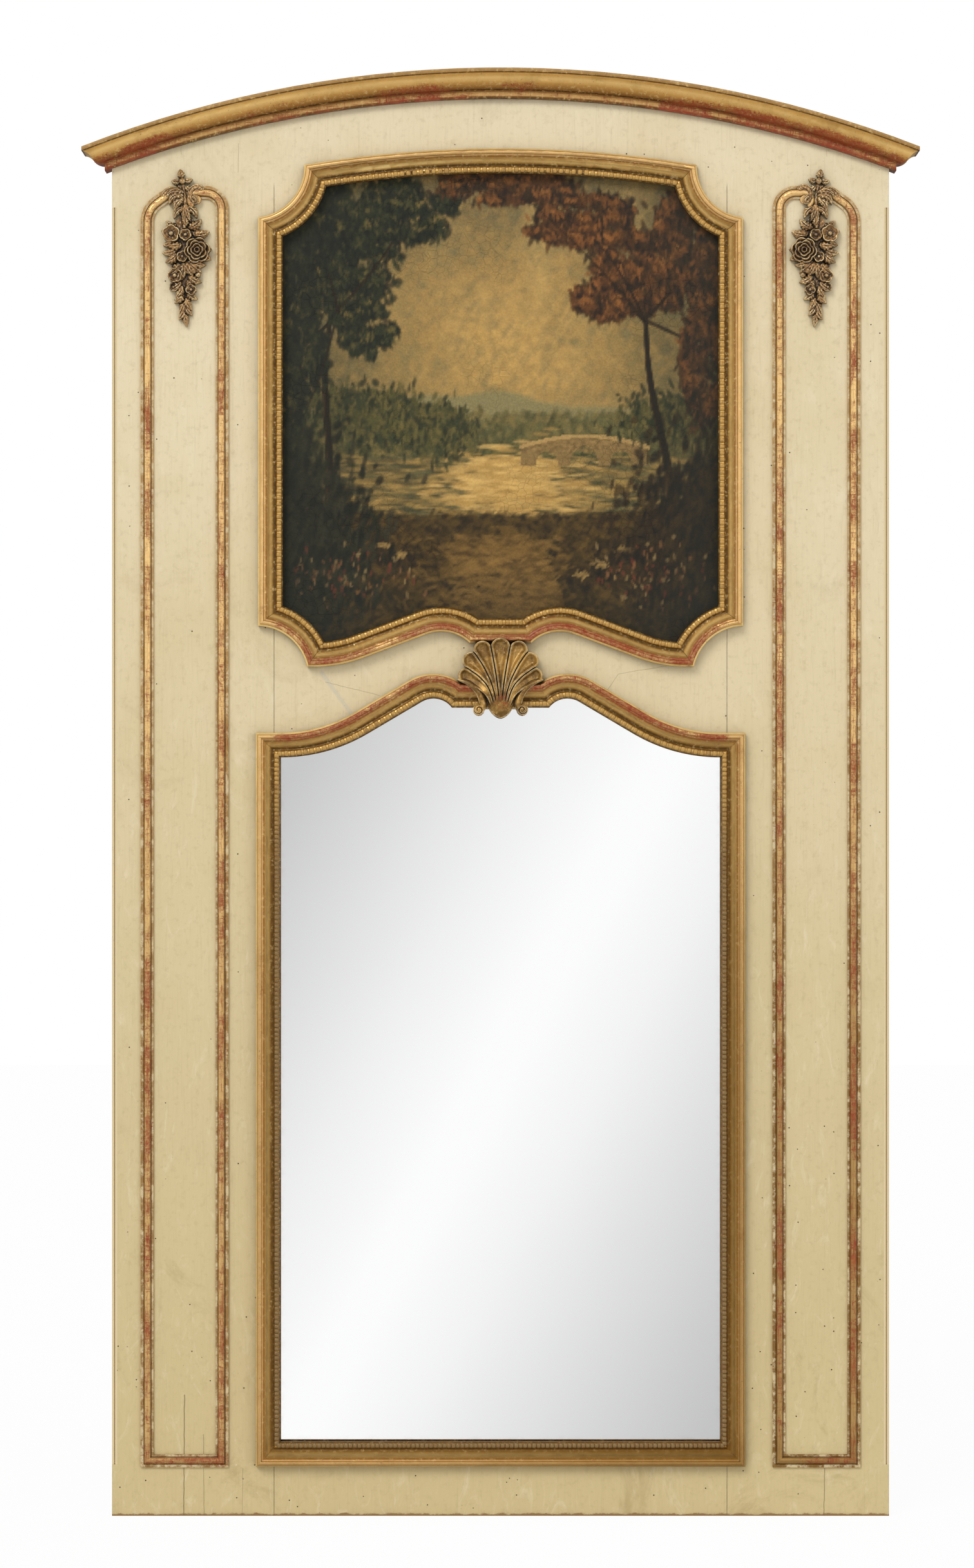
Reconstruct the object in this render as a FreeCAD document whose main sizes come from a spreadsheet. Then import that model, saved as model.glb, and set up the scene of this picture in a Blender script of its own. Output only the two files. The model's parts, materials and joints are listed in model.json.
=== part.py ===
import FreeCAD, Part
import math
import os
import Sketcher
from FreeCAD import Rotation, Vector

# A trumeau mirror: an arched, painted board with a painting above a mirror plate, each in a
# gilt moulding, a carved shell between them and a narrow panel with a carved drop at each side.
#
# Frame: millimetres, +Z up, +X to the viewer's right, the front faces -Y. The origin is the
# middle of the bottom edge on the back, the plane that lies against the wall.
#
# Each of the two frames is set out from its sight line, the inner edge that the eye sees.
# "out" is a distance from the sight line towards the board's edge.

SIZES = [
    # The board
    ("board_width", 1146, "across the painted board"),
    ("board_crest", 2131, "height at the middle of the arched top"),
    ("board_thickness", 30, "front face to back face"),
    ("arch_radius", 1690, "radius of the arched top"),
    ("stile_inside", 334, "middle line to the inner edge of a stile"),
    ("rail_height", 1204, "height on the middle rail that both frames are set out from"),
    ("lip", 10, "thickness left in front of a rebate"),
    ("rebate_width", 10, "how far a rebate goes into a stile"),
    ("reveal", 10, "how far a frame's moulding stands in over its opening"),
    ("tenon_length", 60, "tenons of the rails"),
    ("tenon_thickness", 10, "tenons of the rails"),
    ("shoulder", 14, "rail left above and below a tenon"),
    ("mortise_play", 1, "bottom of a mortise beyond its tenon"),
    ("peg_radius", 4, "joint pegs"),
    ("peg_length", 18, "joint pegs, driven from the back"),
    ("strip_width", 7.6, "edge strips"),
    ("strip_depth", 8, "edge strips"),
    ("strip_bottom", 76, "lower end of the edge strips"),
    ("strip_stop", 201, "upper end of the edge strips, below the board's crest"),
    # The cornice
    ("cornice_height", 41, "from the arched top down"),
    ("cornice_reach", 42, "how far the cornice stands out"),
    ("cornice_fillet", 5.5, "plain band at the top of the cornice"),
    ("cornice_fascia", 9.5, "plain band at the foot of the cornice"),
    ("cornice_foot", 10, "how far the foot stands out"),
    # The moulding of the two frames
    ("frame_width", 36, "sight line to outer edge"),
    ("frame_rise", 22, "how far the moulding stands out of the board"),
    ("sight_edge", 5, "height of the edge at the sight line"),
    ("bead_width", 9, "seat of the row of beads"),
    ("bead_rise", 2.5, "crown of the seat of the row of beads"),
    ("outer_bevel", 2.5, "small bevel at the outer edge"),
    ("torus_width", 6.5, "round beside the outer bevel"),
    # The painting's frame, at the sight line
    ("painting_lap", 13, "the side stands in over the stile's inner edge"),
    ("painting_drop", 151, "top, at the middle, below the board's crest"),
    ("top_corner_out", 44, "centre of an upper hollow corner, beyond the side"),
    ("top_corner_up", 10, "centre of an upper hollow corner, above the top"),
    ("low_corner_out", 38, "centre of a lower hollow corner, beyond the side"),
    ("low_corner_up", 32.5, "centre of a lower hollow corner, above the rail height"),
    ("corner_radius", 112, "radius of the hollow corners"),
    ("painting_sweep_in", 46, "centre of the long sweep, inside the side"),
    ("painting_sweep_up", 255.5, "centre of the long sweep, above the rail height"),
    ("painting_sweep", 171, "radius of the long sweep"),
    ("painting_hump_x", 87.5, "centre of the hump, from the middle line"),
    ("painting_hump_up", 39.5, "centre of the hump, above the rail height"),
    ("painting_hump", 97, "radius of the hump"),
    ("painting_step_up", 119.5, "straight middle piece, above the rail height"),
    # The mirror's frame, at the sight line
    ("mirror_lap", 9.5, "the side stands in over the stile's inner edge"),
    ("mirror_bottom", 110, "bottom"),
    ("mirror_shoulder_down", 85, "upper end of the sides, below the rail height"),
    ("mirror_sweep", 252, "radius of the long sweep"),
    ("mirror_hump_x", 99, "centre of the hump, from the middle line"),
    ("mirror_hump_down", 32, "centre of the hump, below the rail height"),
    ("mirror_hump", 34, "radius of the hump"),
    ("mirror_step_down", 11.5, "straight middle piece, below the rail height"),
    # The side panels
    ("panel_margin", 42.5, "board's edge to the panel's outer edge"),
    ("panel_inset", 67, "stile's inner edge to the panel's inner edge"),
    ("panel_bottom", 72, "lower edge of the panel"),
    ("spring_drop", 203.5, "where the inner shoulder starts, below the board's crest"),
    ("spring_step", 19, "the outer shoulder starts lower than the inner one"),
    ("panel_width", 19, "width of the panel's moulding"),
    ("panel_rise", 9, "how far the panel's moulding stands out"),
    ("inner_round", 34, "outer radius of the inner shoulder"),
    ("inner_run", 12.5, "straight top of the inner shoulder"),
    ("outer_round", 45, "outer radius of the outer shoulder"),
    ("outer_turn", 55, "degrees that the outer shoulder turns"),
    ("outer_run", 22, "slanting top of the outer shoulder"),
    ("volute", 11, "radius of the curl that ends a shoulder"),
    ("volute_turn", 150, "degrees that a curl turns"),
    # The shell
    ("flute_end", 11.5, "radius of a middle flute's round end"),
    ("flute_root", 4.5, "radius of a flute at the base"),
    ("flute_wall", 2.6, "rim left around a flute"),
    ("flute_depth", 6.5, "how far a flute's hollow lies in front of its body"),
    ("shell_rise", 25, "distance from the board to the flutes' axis at the base"),
    ("shell_edge", 7, "distance from the board to the flutes' axis at the ends"),
    ("ear_radius", 8.5, "scrolled ears below the shell"),
    ("ear_spread", 32, "middle line to an ear"),
    ("ear_drop", 14, "ears below the point where the flutes meet"),
    ("dome_up", 14, "centre of the shell's dome above its base"),
    ("dome_half", 34, "half the width of the shell's dome"),
    ("tongue_length", 18, "tongue below the shell's base"),
    ("tongue_root", 15, "tongue's radius where it starts"),
    ("tongue_tip", 8, "tongue's round tip"),
    ("fit", 0.3, "play between the shell and the moulding that it is cut over"),
    # The carved drops
    ("drop_thickness", 8, "ground of a carved drop"),
    ("drop_waist_down", 291, "widest part of a bunch, below the board's crest"),
    ("finial_up", 140, "tip of a drop's finial, above its widest part"),
    ("neck_up", 86, "where the leaves start, above the widest part"),
    ("tip_down", 85, "lower tip, below the widest part"),
    ("drop_half", 20, "half the bunch's width"),
    # The canvas and its stretcher
    ("canvas_lap", 17, "edge beyond the sight line's highest and lowest points"),
    ("canvas_thickness", 1, "linen with its ground and paint"),
    ("bar_width", 45, "stretcher bars"),
    ("bar_thickness", 14, "stretcher bars"),
    ("bar_tenon", 30, "tenons of the stretcher bars"),
    ("block_length", 45, "blocks behind the stretcher and the plate"),
    ("block_width", 18, "blocks behind the stretcher and the plate"),
    # The mirror plate and its backing
    ("plate_lap", 18, "edge beyond the sight line's highest and lowest points"),
    ("plate_thickness", 5, "silvered glass"),
    ("edge_play", 1, "play around the canvas and the plate"),
    ("backing_thickness", 8, "backing boards"),
    ("backing_gap", 0.5, "between two backing boards"),
    # Hanging
    ("hanger_down", 331, "hanger plates' holes, below the board's crest"),
    ("hanger_width", 40, "iron hanger plates"),
    ("hanger_length", 96, "iron hanger plates"),
    ("hanger_thickness", 3, "iron hanger plates"),
    ("hook_radius", 5, "hole for a wall hook"),
    ("hook_room_radius", 8, "hollow behind the hook's hole"),
    ("hook_room", 20, "depth of the hollow behind the hook's hole"),
    ("screw_radius", 2.2, "hanger screws"),
    ("screw_head", 4.4, "hanger screws"),
    ("screw_length", 18, "hanger screws"),
    ("screw_spacing", 68, "between a hanger plate's two screws"),
]

doc = FreeCAD.newDocument("trumeau_mirror")
sheet = doc.addObject("Spreadsheet::Sheet", "Sizes")
kept = []


class Size:
    """A length with the formula that ties it to the sheet."""

    def __init__(self, number, formula=None):
        self.number = float(number)
        self.formula = formula or f"({float(number)!r})"

    def __add__(self, other):
        other = sized(other)
        return Size(self.number + other.number, f"({self.formula} + {other.formula})")

    def __sub__(self, other):
        other = sized(other)
        return Size(self.number - other.number, f"({self.formula} - {other.formula})")

    def __mul__(self, other):
        other = sized(other)
        return Size(self.number * other.number, f"({self.formula} * {other.formula})")

    def __truediv__(self, other):
        other = sized(other)
        return Size(self.number / other.number, f"({self.formula} / {other.formula})")

    def __neg__(self):
        return Size(0) - self

    def __radd__(self, other):
        return sized(other) + self

    def __rsub__(self, other):
        return sized(other) - self

    def __rmul__(self, other):
        return sized(other) * self


def sized(value):
    return value if isinstance(value, Size) else Size(value)


def root(value):
    return Size(math.sqrt(value.number), f"sqrt({value.formula})")


class Given:
    """The sheet's cells by name."""


given = Given()
for row, (name, number, meaning) in enumerate(SIZES, start=1):
    sheet.set(f"A{row}", meaning)
    sheet.set(f"B{row}", str(number))
    sheet.setAlias(f"B{row}", name)
    setattr(given, name, Size(number, f"Sizes.{name}"))
doc.recompute()

# Sizes that follow from the sheet

g = given
face = g.board_thickness
half_width = g.board_width / 2
strip_top = g.board_crest - g.strip_stop

painting_half = g.stile_inside - g.painting_lap
painting_crest = g.board_crest - g.painting_drop
painting_step = g.rail_height + g.painting_step_up

mirror_half = g.stile_inside - g.mirror_lap
mirror_shoulder = g.rail_height - g.mirror_shoulder_down
mirror_step = g.rail_height - g.mirror_step_down

panel_outer = half_width - g.panel_margin
panel_inner = g.stile_inside + g.panel_inset
panel_spring = g.board_crest - g.spring_drop
panel_low_spring = panel_spring - g.spring_step

shell_base = g.rail_height
drop_waist = g.board_crest - g.drop_waist_down

canvas_top = painting_crest + g.canvas_lap
canvas_bottom = g.rail_height + g.painting_sweep_up - g.painting_sweep - g.canvas_lap
plate_top = mirror_step + g.plate_lap
plate_bottom = g.mirror_bottom - g.plate_lap

hanger_height = g.board_crest - g.hanger_down
hanger_x = (g.stile_inside + half_width) / 2

# Lengths that only have to be long enough
FAR = 100  # what a mitre takes away beyond its line
SPARE = 0.6  # how far a mitre runs past the moulding, in moulding widths
RING = 112  # degrees of a ring that a hollow corner is cut from


# Points and lines


def tie(thing, prop, value):
    thing.setExpression(prop, sized(value).formula)


def above(circle, x):
    """The height at x on the upper half of a circle (centre x, centre z, radius)."""
    cx, cz, radius = circle
    return cz + root(radius * radius - (x - cx) * (x - cx))


def below(circle, x):
    cx, cz, radius = circle
    return cz - root(radius * radius - (x - cx) * (x - cx))


def right_of(circle, z):
    """The x at height z on the right half of a circle."""
    cx, cz, radius = circle
    return cx + root(radius * radius - (z - cz) * (z - cz))


def crossing(first, second, side):
    """Where two circles cross, on the left (1) or right (-1) of the line between their centres."""
    dx = second[0] - first[0]
    dz = second[1] - first[1]
    apart = dx * dx + dz * dz
    along = (first[2] * first[2] - second[2] * second[2] + apart) / (apart * 2)
    across = root(first[2] * first[2] / apart - along * along) * side
    return first[0] + along * dx - across * dz, first[1] + along * dz + across * dx


def cross_tangent(first, second):
    """The ends of the line that leaves the first circle from below and meets the second from above."""
    dx = second[0] - first[0]
    dz = second[1] - first[1]
    apart = dx * dx + dz * dz
    radii = first[2] + second[2]
    length = root(apart - radii * radii)
    nx = (dx * radii + dz * length) / apart
    nz = (dz * radii - dx * length) / apart
    start = (first[0] + nx * first[2], first[1] + nz * first[2])
    end = (second[0] - nx * second[2], second[1] - nz * second[2])
    return start, end


def turned(corners):
    """The same line mirrored in the middle line."""
    return [(-c[0], c[1]) if len(c) == 2 else (-c[0], c[1], c[2], -c[3]) for c in corners]


def backwards(corners):
    """The same open line from its other end."""
    result = []
    for i in range(len(corners) - 1, -1, -1):
        point = corners[i][:2]
        bend = corners[i - 1][2:] if i > 0 else ()
        result.append((*point, bend[0], -bend[1]) if bend else point)
    return result


def swell(first, second, rise):
    """The radius of an arc that rises this far above its chord."""
    dx = second[0] - first[0]
    dz = second[1] - first[1]
    rise = sized(rise)
    return ((dx * dx + dz * dz) / 4 + rise * rise) / (rise * 2)


# Sketches and features


def origin_plane(body, role):
    return next(f for f in body.Origin.OriginFeatures if f.Role == role)


def sketch_on(body, name, role, shift=(0, 0, 0)):
    """A sketch on one of the body's own planes, shifted in that plane's own directions."""
    sketch = body.newObject("Sketcher::SketchObject", name)
    sketch.AttachmentSupport = [(origin_plane(body, role), "")]
    sketch.MapMode = "FlatFace"
    for letter, value in zip("xyz", shift):
        if isinstance(value, Size):
            tie(sketch, f".AttachmentOffset.Base.{letter}", value)
    return sketch


def draw(sketch, corners, closed=True):
    """Lines and arcs through corners (x, z) or (x, z, radius, side).

    A corner with a radius starts an arc that swells to the left (1) or right (-1) of the way to
    the next corner. Every corner and radius is tied to the sheet.
    """
    corners = [tuple(sized(v) if i < 3 else v for i, v in enumerate(c)) for c in corners]
    ends = []
    count = len(corners) if closed else len(corners) - 1
    for i in range(count):
        here, there = corners[i], corners[(i + 1) % len(corners)]
        p = Vector(here[0].number, here[1].number, 0)
        q = Vector(there[0].number, there[1].number, 0)
        if len(here) == 2:
            sketch.addGeometry(Part.LineSegment(p, q))
            ends.append((1, 2))
            continue
        chord = q - p
        side = here[3]
        normal = Vector(-chord.y, chord.x, 0).normalize() * side
        reach = math.sqrt(max(here[2].number ** 2 - (chord.Length / 2) ** 2, 0))
        crown = (p + q) / 2 + normal * (here[2].number - reach)
        if side < 0:
            sketch.addGeometry(Part.Arc(p, crown, q))
            ends.append((1, 2))
        else:
            sketch.addGeometry(Part.Arc(q, crown, p))
            ends.append((2, 1))
    rules = []
    formulas = []
    for i in range(count if closed else count - 1):
        j = (i + 1) % count
        rules.append(Sketcher.Constraint("Coincident", i, ends[i][1], j, ends[j][0]))
    for i, corner in enumerate(corners):
        piece, end = (i, ends[i][0]) if i < count else (count - 1, ends[count - 1][1])
        for kind, value in (("DistanceX", corner[0]), ("DistanceY", corner[1])):
            formulas.append((len(rules), value))
            rules.append(Sketcher.Constraint(kind, -1, 1, piece, end, value.number))
        if len(corner) > 2:
            formulas.append((len(rules), corner[2]))
            rules.append(Sketcher.Constraint("Radius", i, corner[2].number))
    sketch.addConstraint(rules)
    for index, value in formulas:
        if "Sizes" in value.formula:
            tie(sketch, f"Constraints[{index}]", value)


def new_body(label):
    body = doc.addObject("PartDesign::Body", label)
    body.Label = label
    return body


def pad(body, name, sketch, length, both_ways=False):
    feature = body.newObject("PartDesign::Pad", name)
    feature.Profile = sketch
    feature.SideType = "Symmetric" if both_ways else "One side"
    tie(feature, "Length", length)
    return feature


def pocket(body, name, corners, role, shift, depth):
    """A cut this deep to both sides of its sketch, so that it can't point away from the solid."""
    sketch = sketch_on(body, f"{name}_outline", role, shift)
    draw(sketch, corners)
    feature = body.newObject("PartDesign::Pocket", name)
    feature.Profile = sketch
    feature.SideType = "Symmetric"
    tie(feature, "Length", sized(depth) * 2)
    return feature


def drill(body, name, spots, radius, role, shift, depth):
    """Round holes at the spots (x, z), this deep to both sides of the sketch."""
    sketch = sketch_on(body, f"{name}_circles", role, shift)
    for i, (x, z) in enumerate(spots):
        x, z, radius = sized(x), sized(z), sized(radius)
        sketch.addGeometry(Part.Circle(Vector(x.number, z.number, 0), Vector(0, 0, 1), radius.number))
        first = sketch.ConstraintCount
        sketch.addConstraint([
            Sketcher.Constraint("DistanceX", -1, 1, i, 3, x.number),
            Sketcher.Constraint("DistanceY", -1, 1, i, 3, z.number),
            Sketcher.Constraint("Radius", i, radius.number),
        ])
        for step, value in enumerate((x, z, radius)):
            tie(sketch, f"Constraints[{first + step}]", value)
    feature = body.newObject("PartDesign::Pocket", name)
    feature.Profile = sketch
    feature.SideType = "Symmetric"
    tie(feature, "Length", sized(depth) * 2)
    return feature


def keep(body, label=None):
    kept.append((label or body.Label, body))
    return body


def block(left, right, bottom, top):
    return [(left, bottom), (right, bottom), (right, top), (left, top)]


def mitre(body, name, inner, outer, away, depth=None):
    """Cuts off what lies beyond the line from the inner to the outer corner, towards away."""
    dx, dz = outer[0] - inner[0], outer[1] - inner[1]
    first = (inner[0] - dx * SPARE, inner[1] - dz * SPARE)
    last = (outer[0] + dx * SPARE, outer[1] + dz * SPARE)
    corners = [first, last, (last[0] + away[0], last[1] + away[1]), (first[0] + away[0], first[1] + away[1])]
    pocket(body, name, corners, "XZ_Plane", (0, 0, 0), depth or (face + g.cornice_reach) * 2)


# The two sight lines, as circles and corners for any distance out


def board_arch():
    return Size(0), g.board_crest - g.arch_radius, g.arch_radius


def painting_arch(out):
    return Size(0), painting_crest - g.arch_radius, g.arch_radius + out


def top_corner(out):
    return -(painting_half + g.top_corner_out), painting_crest + g.top_corner_up, g.corner_radius - out


def low_corner(out):
    return -(painting_half + g.low_corner_out), g.rail_height + g.low_corner_up, g.corner_radius - out


def painting_sweep(out):
    centre = g.painting_sweep_in - painting_half
    return centre, g.rail_height + g.painting_sweep_up, g.painting_sweep + out


def painting_hump(out):
    return -g.painting_hump_x, g.rail_height + g.painting_hump_up, g.painting_hump - out


def mirror_sweep(out):
    return -mirror_half, mirror_shoulder + g.mirror_sweep, g.mirror_sweep - out


def mirror_hump(out):
    return -g.mirror_hump_x, g.rail_height - g.mirror_hump_down, g.mirror_hump + out


def painting_points(out):
    """The left half's corners: head, high side, low side, foot, step."""
    side = -(painting_half + out)
    step = painting_step - out
    return {
        "head": crossing(top_corner(out), painting_arch(out), 1),
        "high": (side, below(top_corner(out), side)),
        "low": (side, above(low_corner(out), side)),
        "foot": crossing(low_corner(out), painting_sweep(out), -1),
        "step": (right_of(painting_hump(out), step), step),
    }


def mirror_points(out):
    side = -(mirror_half + out)
    step = mirror_step + out
    return {
        "base": (side, g.mirror_bottom - out),
        "shoulder": (side, mirror_shoulder + out),
        "step": (right_of(mirror_hump(out), step), step),
    }


def painting_foot_line(out, start_x=None):
    """The lower edge's left half, from the hollow corner to the middle piece's end."""
    points = painting_points(out)
    leave, arrive = cross_tangent(painting_sweep(out), painting_hump(out))
    line = [
        (*points["foot"], painting_sweep(out)[2], -1),
        leave,
        (*arrive, painting_hump(out)[2], 1),
        points["step"],
    ]
    if start_x is not None:
        line.insert(0, (start_x, above(low_corner(out), start_x), low_corner(out)[2], 1))
    return line


def mirror_head_line(out):
    """The upper edge's left half, from the side to the middle piece's end."""
    leave, arrive = cross_tangent(mirror_sweep(out), mirror_hump(out))
    low = mirror_shoulder + out
    return [
        (-g.stile_inside, low),
        (-mirror_half, low, mirror_sweep(out)[2], -1),
        leave,
        (*arrive, mirror_hump(out)[2], 1),
        mirror_points(out)["step"],
    ]


# Carcass

canvas_room = (canvas_bottom - g.edge_play, canvas_top + g.edge_play)
plate_room = (plate_bottom - g.edge_play, plate_top + g.edge_play)
rebate_depth = face - g.lip
tenon_front = face - g.lip
tenon_back = tenon_front - g.tenon_thickness

# The height of each rail's tenon, in the part of the rail that has its full thickness
TENONS = {
    "top_rail": (canvas_room[1] + g.shoulder, above(board_arch(), -g.stile_inside) - g.shoulder),
    "middle_rail": (plate_room[1] + g.shoulder / 2, canvas_room[0] - g.shoulder / 2),
    "bottom_rail": (g.shoulder, plate_room[0] - g.shoulder),
}


def peg_spots(side):
    """Two pegs through each tenon, from the back."""
    spots = []
    for low, high in TENONS.values():
        quarter = (high - low) / 4
        for z in (low + quarter, high - quarter):
            spots.append((side * (g.stile_inside + g.tenon_length / 2), z))
    return spots


def hanger_spots(side):
    x = side * hanger_x
    return [(x, hanger_height + g.screw_spacing / 2), (x, hanger_height - g.screw_spacing / 2)]


def stile(label, side):
    body = new_body(label)
    outline = sketch_on(body, "outline", "XZ_Plane")
    inner, outer = g.stile_inside, half_width
    draw(outline, [
        (side * inner, 0),
        (side * outer, 0),
        (side * outer, above(board_arch(), outer), g.arch_radius, side),
        (side * inner, above(board_arch(), inner)),
    ])
    pad(body, "board", outline, face)
    for name, (low, high) in (("canvas_rebate", canvas_room), ("plate_rebate", plate_room)):
        corners = block(side * (inner - g.edge_play), side * (inner + g.rebate_width), low, high)
        pocket(body, name, corners, "XZ_Plane", (0, 0, 0), rebate_depth)
    for name, (low, high) in TENONS.items():
        corners = block(-tenon_front, -tenon_back, low, high)
        depth = g.tenon_length + g.mortise_play
        pocket(body, f"mortise_{name}", corners, "YZ_Plane", (0, 0, side * inner), depth)
    corners = block(side * (outer - g.strip_width), side * (outer + g.strip_width), g.strip_bottom, strip_top)
    pocket(body, "strip_rebate", corners, "XZ_Plane", (0, 0, face), g.strip_depth)
    drill(body, "peg_holes", peg_spots(side), g.peg_radius, "XZ_Plane", (0, 0, 0), g.peg_length)
    hanger = block(
        side * hanger_x - g.hanger_width / 2,
        side * hanger_x + g.hanger_width / 2,
        hanger_height - g.hanger_length / 2,
        hanger_height + g.hanger_length / 2,
    )
    pocket(body, "hanger_recess", hanger, "XZ_Plane", (0, 0, 0), g.hanger_thickness)
    hook = [(side * hanger_x, hanger_height)]
    drill(body, "hook_room", hook, g.hook_room_radius, "XZ_Plane", (0, 0, 0), g.hook_room)
    drill(body, "screw_holes", hanger_spots(side), g.screw_radius, "XZ_Plane", (0, 0, 0), g.screw_length)
    keep(body)


def rail(label, corners, rebates):
    """A rail between the stiles, with a tenon at each end."""
    body = new_body(label)
    outline = sketch_on(body, "outline", "XZ_Plane")
    draw(outline, corners)
    pad(body, "board", outline, face)
    reach = g.stile_inside + g.edge_play
    for i, (low, high) in enumerate(rebates):
        pocket(body, f"rebate_{i}", block(-reach, reach, low, high), "XZ_Plane", (0, 0, 0), rebate_depth)
    low, high = TENONS[label]
    for side, name in ((-1, "left"), (1, "right")):
        shift = (0, 0, side * (g.stile_inside + g.tenon_length / 2))
        sketch = sketch_on(body, f"{name}_tenon_outline", "YZ_Plane", shift)
        draw(sketch, block(-tenon_front, -tenon_back, low, high))
        pad(body, f"{name}_tenon", sketch, g.tenon_length, both_ways=True)
    spots = peg_spots(-1)[:] + peg_spots(1)[:]
    order = list(TENONS).index(label)
    mine = [spots[2 * order], spots[2 * order + 1], spots[6 + 2 * order], spots[7 + 2 * order]]
    drill(body, "peg_holes", mine, g.peg_radius, "XZ_Plane", (0, 0, 0), g.peg_length)
    keep(body)


def top_rail():
    out = g.reveal
    inner = g.stile_inside
    head = painting_points(out)["head"]
    corner = top_corner(out)
    rail("top_rail", [
        (-inner, below(corner, -inner), corner[2], -1),
        (*head, painting_arch(out)[2], 1),
        (-head[0], head[1], corner[2], -1),
        (inner, below(corner, -inner)),
        (inner, above(board_arch(), inner), g.arch_radius, -1),
        (-inner, above(board_arch(), inner)),
    ], [(canvas_room[0], canvas_room[1])])


def middle_rail():
    left_top = painting_foot_line(g.reveal, -g.stile_inside)
    right_top = backwards(turned(left_top))
    left_low = mirror_head_line(g.reveal)
    right_low = backwards(turned(left_low))
    corners = left_top + right_top + backwards(left_low + right_low)
    rail("middle_rail", corners, [
        (canvas_room[0], canvas_room[1]),
        (plate_room[0], plate_room[1]),
    ])


def bottom_rail():
    inner = g.stile_inside
    rail("bottom_rail", block(-inner, inner, 0, g.mirror_bottom - g.reveal), [plate_room])


def joint_pegs():
    pegs = []
    for side in (-1, 1):
        for x, z in peg_spots(side):
            peg = doc.addObject("Part::Cylinder", "peg")
            tie(peg, "Radius", g.peg_radius)
            tie(peg, "Height", g.peg_length)
            peg.Placement.Rotation = Rotation(Vector(1, 0, 0), 90)
            tie(peg, ".Placement.Base.x", x)
            tie(peg, ".Placement.Base.z", z)
            pegs.append(peg)
    group("joint_pegs", pegs)


def group(label, members):
    """Separate solids in one node."""
    compound = doc.addObject("Part::Compound", label)
    compound.Label = label
    compound.Links = members
    keep(compound)


def edge_strip(label, side):
    """A strip let into the long front corner, with a groove down its face."""
    body = new_body(label)
    sketch = sketch_on(body, "section", "XY_Plane", (0, 0, g.strip_bottom))
    outer, inner = side * half_width, side * (half_width - g.strip_width)
    groove = side * g.strip_width / 3
    draw(sketch, [
        (outer, -(face - g.strip_depth)),
        (outer, -face),
        (outer - groove, -face),
        (outer - groove * 1.5, -(face - g.strip_depth / 5)),
        (outer - groove * 2, -face),
        (inner, -face),
        (inner, -(face - g.strip_depth)),
    ])
    pad(body, "strip", sketch, strip_top - g.strip_bottom)
    keep(body)


# Mouldings


def fitted(section, place):
    """A section's corners (across, up, ...) put on a sketch by place(across, up)."""
    zero = place(Size(0), Size(0))
    over = place(Size(1), Size(0))
    up = place(Size(0), Size(1))
    ax, ay = over[0].number - zero[0].number, over[1].number - zero[1].number
    bx, by = up[0].number - zero[0].number, up[1].number - zero[1].number
    sign = 1 if ax * by - ay * bx > 0 else -1
    result = []
    for corner in section:
        point = place(sized(corner[0]), sized(corner[1]))
        result.append((*point, corner[2], corner[3] * sign) if len(corner) > 2 else point)
    return result


def frame_section():
    """From the sight line outwards: edge, seat of the beads, ogee, round and outer bevel."""
    seat = g.sight_edge + 1
    bead_end = 1 + g.bead_width
    outer = g.frame_width
    round_end = outer - g.outer_bevel
    round_start = round_end - g.torus_width
    hollow = (bead_end + 1.5, g.sight_edge + 0.5)
    middle = ((hollow[0] + round_start) / 2 + 1, (g.frame_rise + seat) / 2)
    crown = g.torus_width * 0.48
    foot = g.frame_rise - crown
    crest = (round_start, foot + 1)
    torus = ((round_start, foot), (round_end, foot))
    low = g.frame_rise / 2
    return [
        (0, 0),
        (outer, 0),
        (outer, low),
        (round_end, low + g.outer_bevel),
        (*torus[1], swell(torus[0], torus[1], crown), -1),
        torus[0],
        (*crest, swell(crest, middle, 1), -1),
        (*middle, swell(middle, hollow, 1.6), 1),
        hollow,
        (bead_end, seat, swell((bead_end, seat), (Size(1), seat), g.bead_rise), -1),
        (1, seat),
        (0, g.sight_edge),
    ]


def panel_section():
    """From the panel's outer edge: flat fillet, half round and thin fillet, parted by grooves."""
    width = g.panel_width
    start, end = width * 0.28, width * 0.8
    crown = width * 0.25
    foot = g.panel_rise - crown
    groove = g.panel_rise * 0.3
    return [
        (0, 0),
        (width, 0),
        (width, foot * 0.8),
        (end + 1, foot * 0.8),
        (end + 1, groove),
        (end, groove),
        (end, foot, swell((end, foot), (start, foot), crown), -1),
        (start, foot),
        (start, groove),
        (start - 1, groove),
        (start - 1, foot),
        (0, foot),
    ]


def straight_up(label, side, section, sight, outward, low, high):
    """A moulding that runs up, its section set out from x = sight towards side * outward."""
    body = new_body(label)
    sketch = sketch_on(body, "section", "XY_Plane", (0, 0, low))
    draw(sketch, fitted(section, lambda u, v: (side * (sight + outward * u), -(face + v))))
    pad(body, "run", sketch, high - low)
    return body


def straight_across(label, section, sight, outward, left, right):
    """A moulding that runs across, its section set out from z = sight."""
    body = new_body(label)
    sketch = sketch_on(body, "section", "YZ_Plane", (0, 0, left))
    draw(sketch, fitted(section, lambda u, v: (-(face + v), sight + outward * u)))
    pad(body, "run", sketch, right - left)
    return body


def revolve(body, name, sketch, angle, reverse=False, both_ways=False):
    feature = body.newObject("PartDesign::Revolution", name)
    feature.Profile = sketch
    feature.ReferenceAxis = (sketch, ["H_Axis"])
    feature.Reversed = reverse
    feature.Midplane = both_ways
    tie(feature, "Angle", angle)
    return feature


def spanned(radius, reach):
    """The degrees of an arc that goes this far to both sides of the middle line."""
    sine = reach / radius
    return Size(2 * math.degrees(math.asin(sine.number)), f"(2 * asin({sine.formula}))")


def sideways(point, side):
    """A point of the left half, or its mirror image."""
    return (point[0], point[1]) if side < 0 else (-point[0], point[1])


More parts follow.
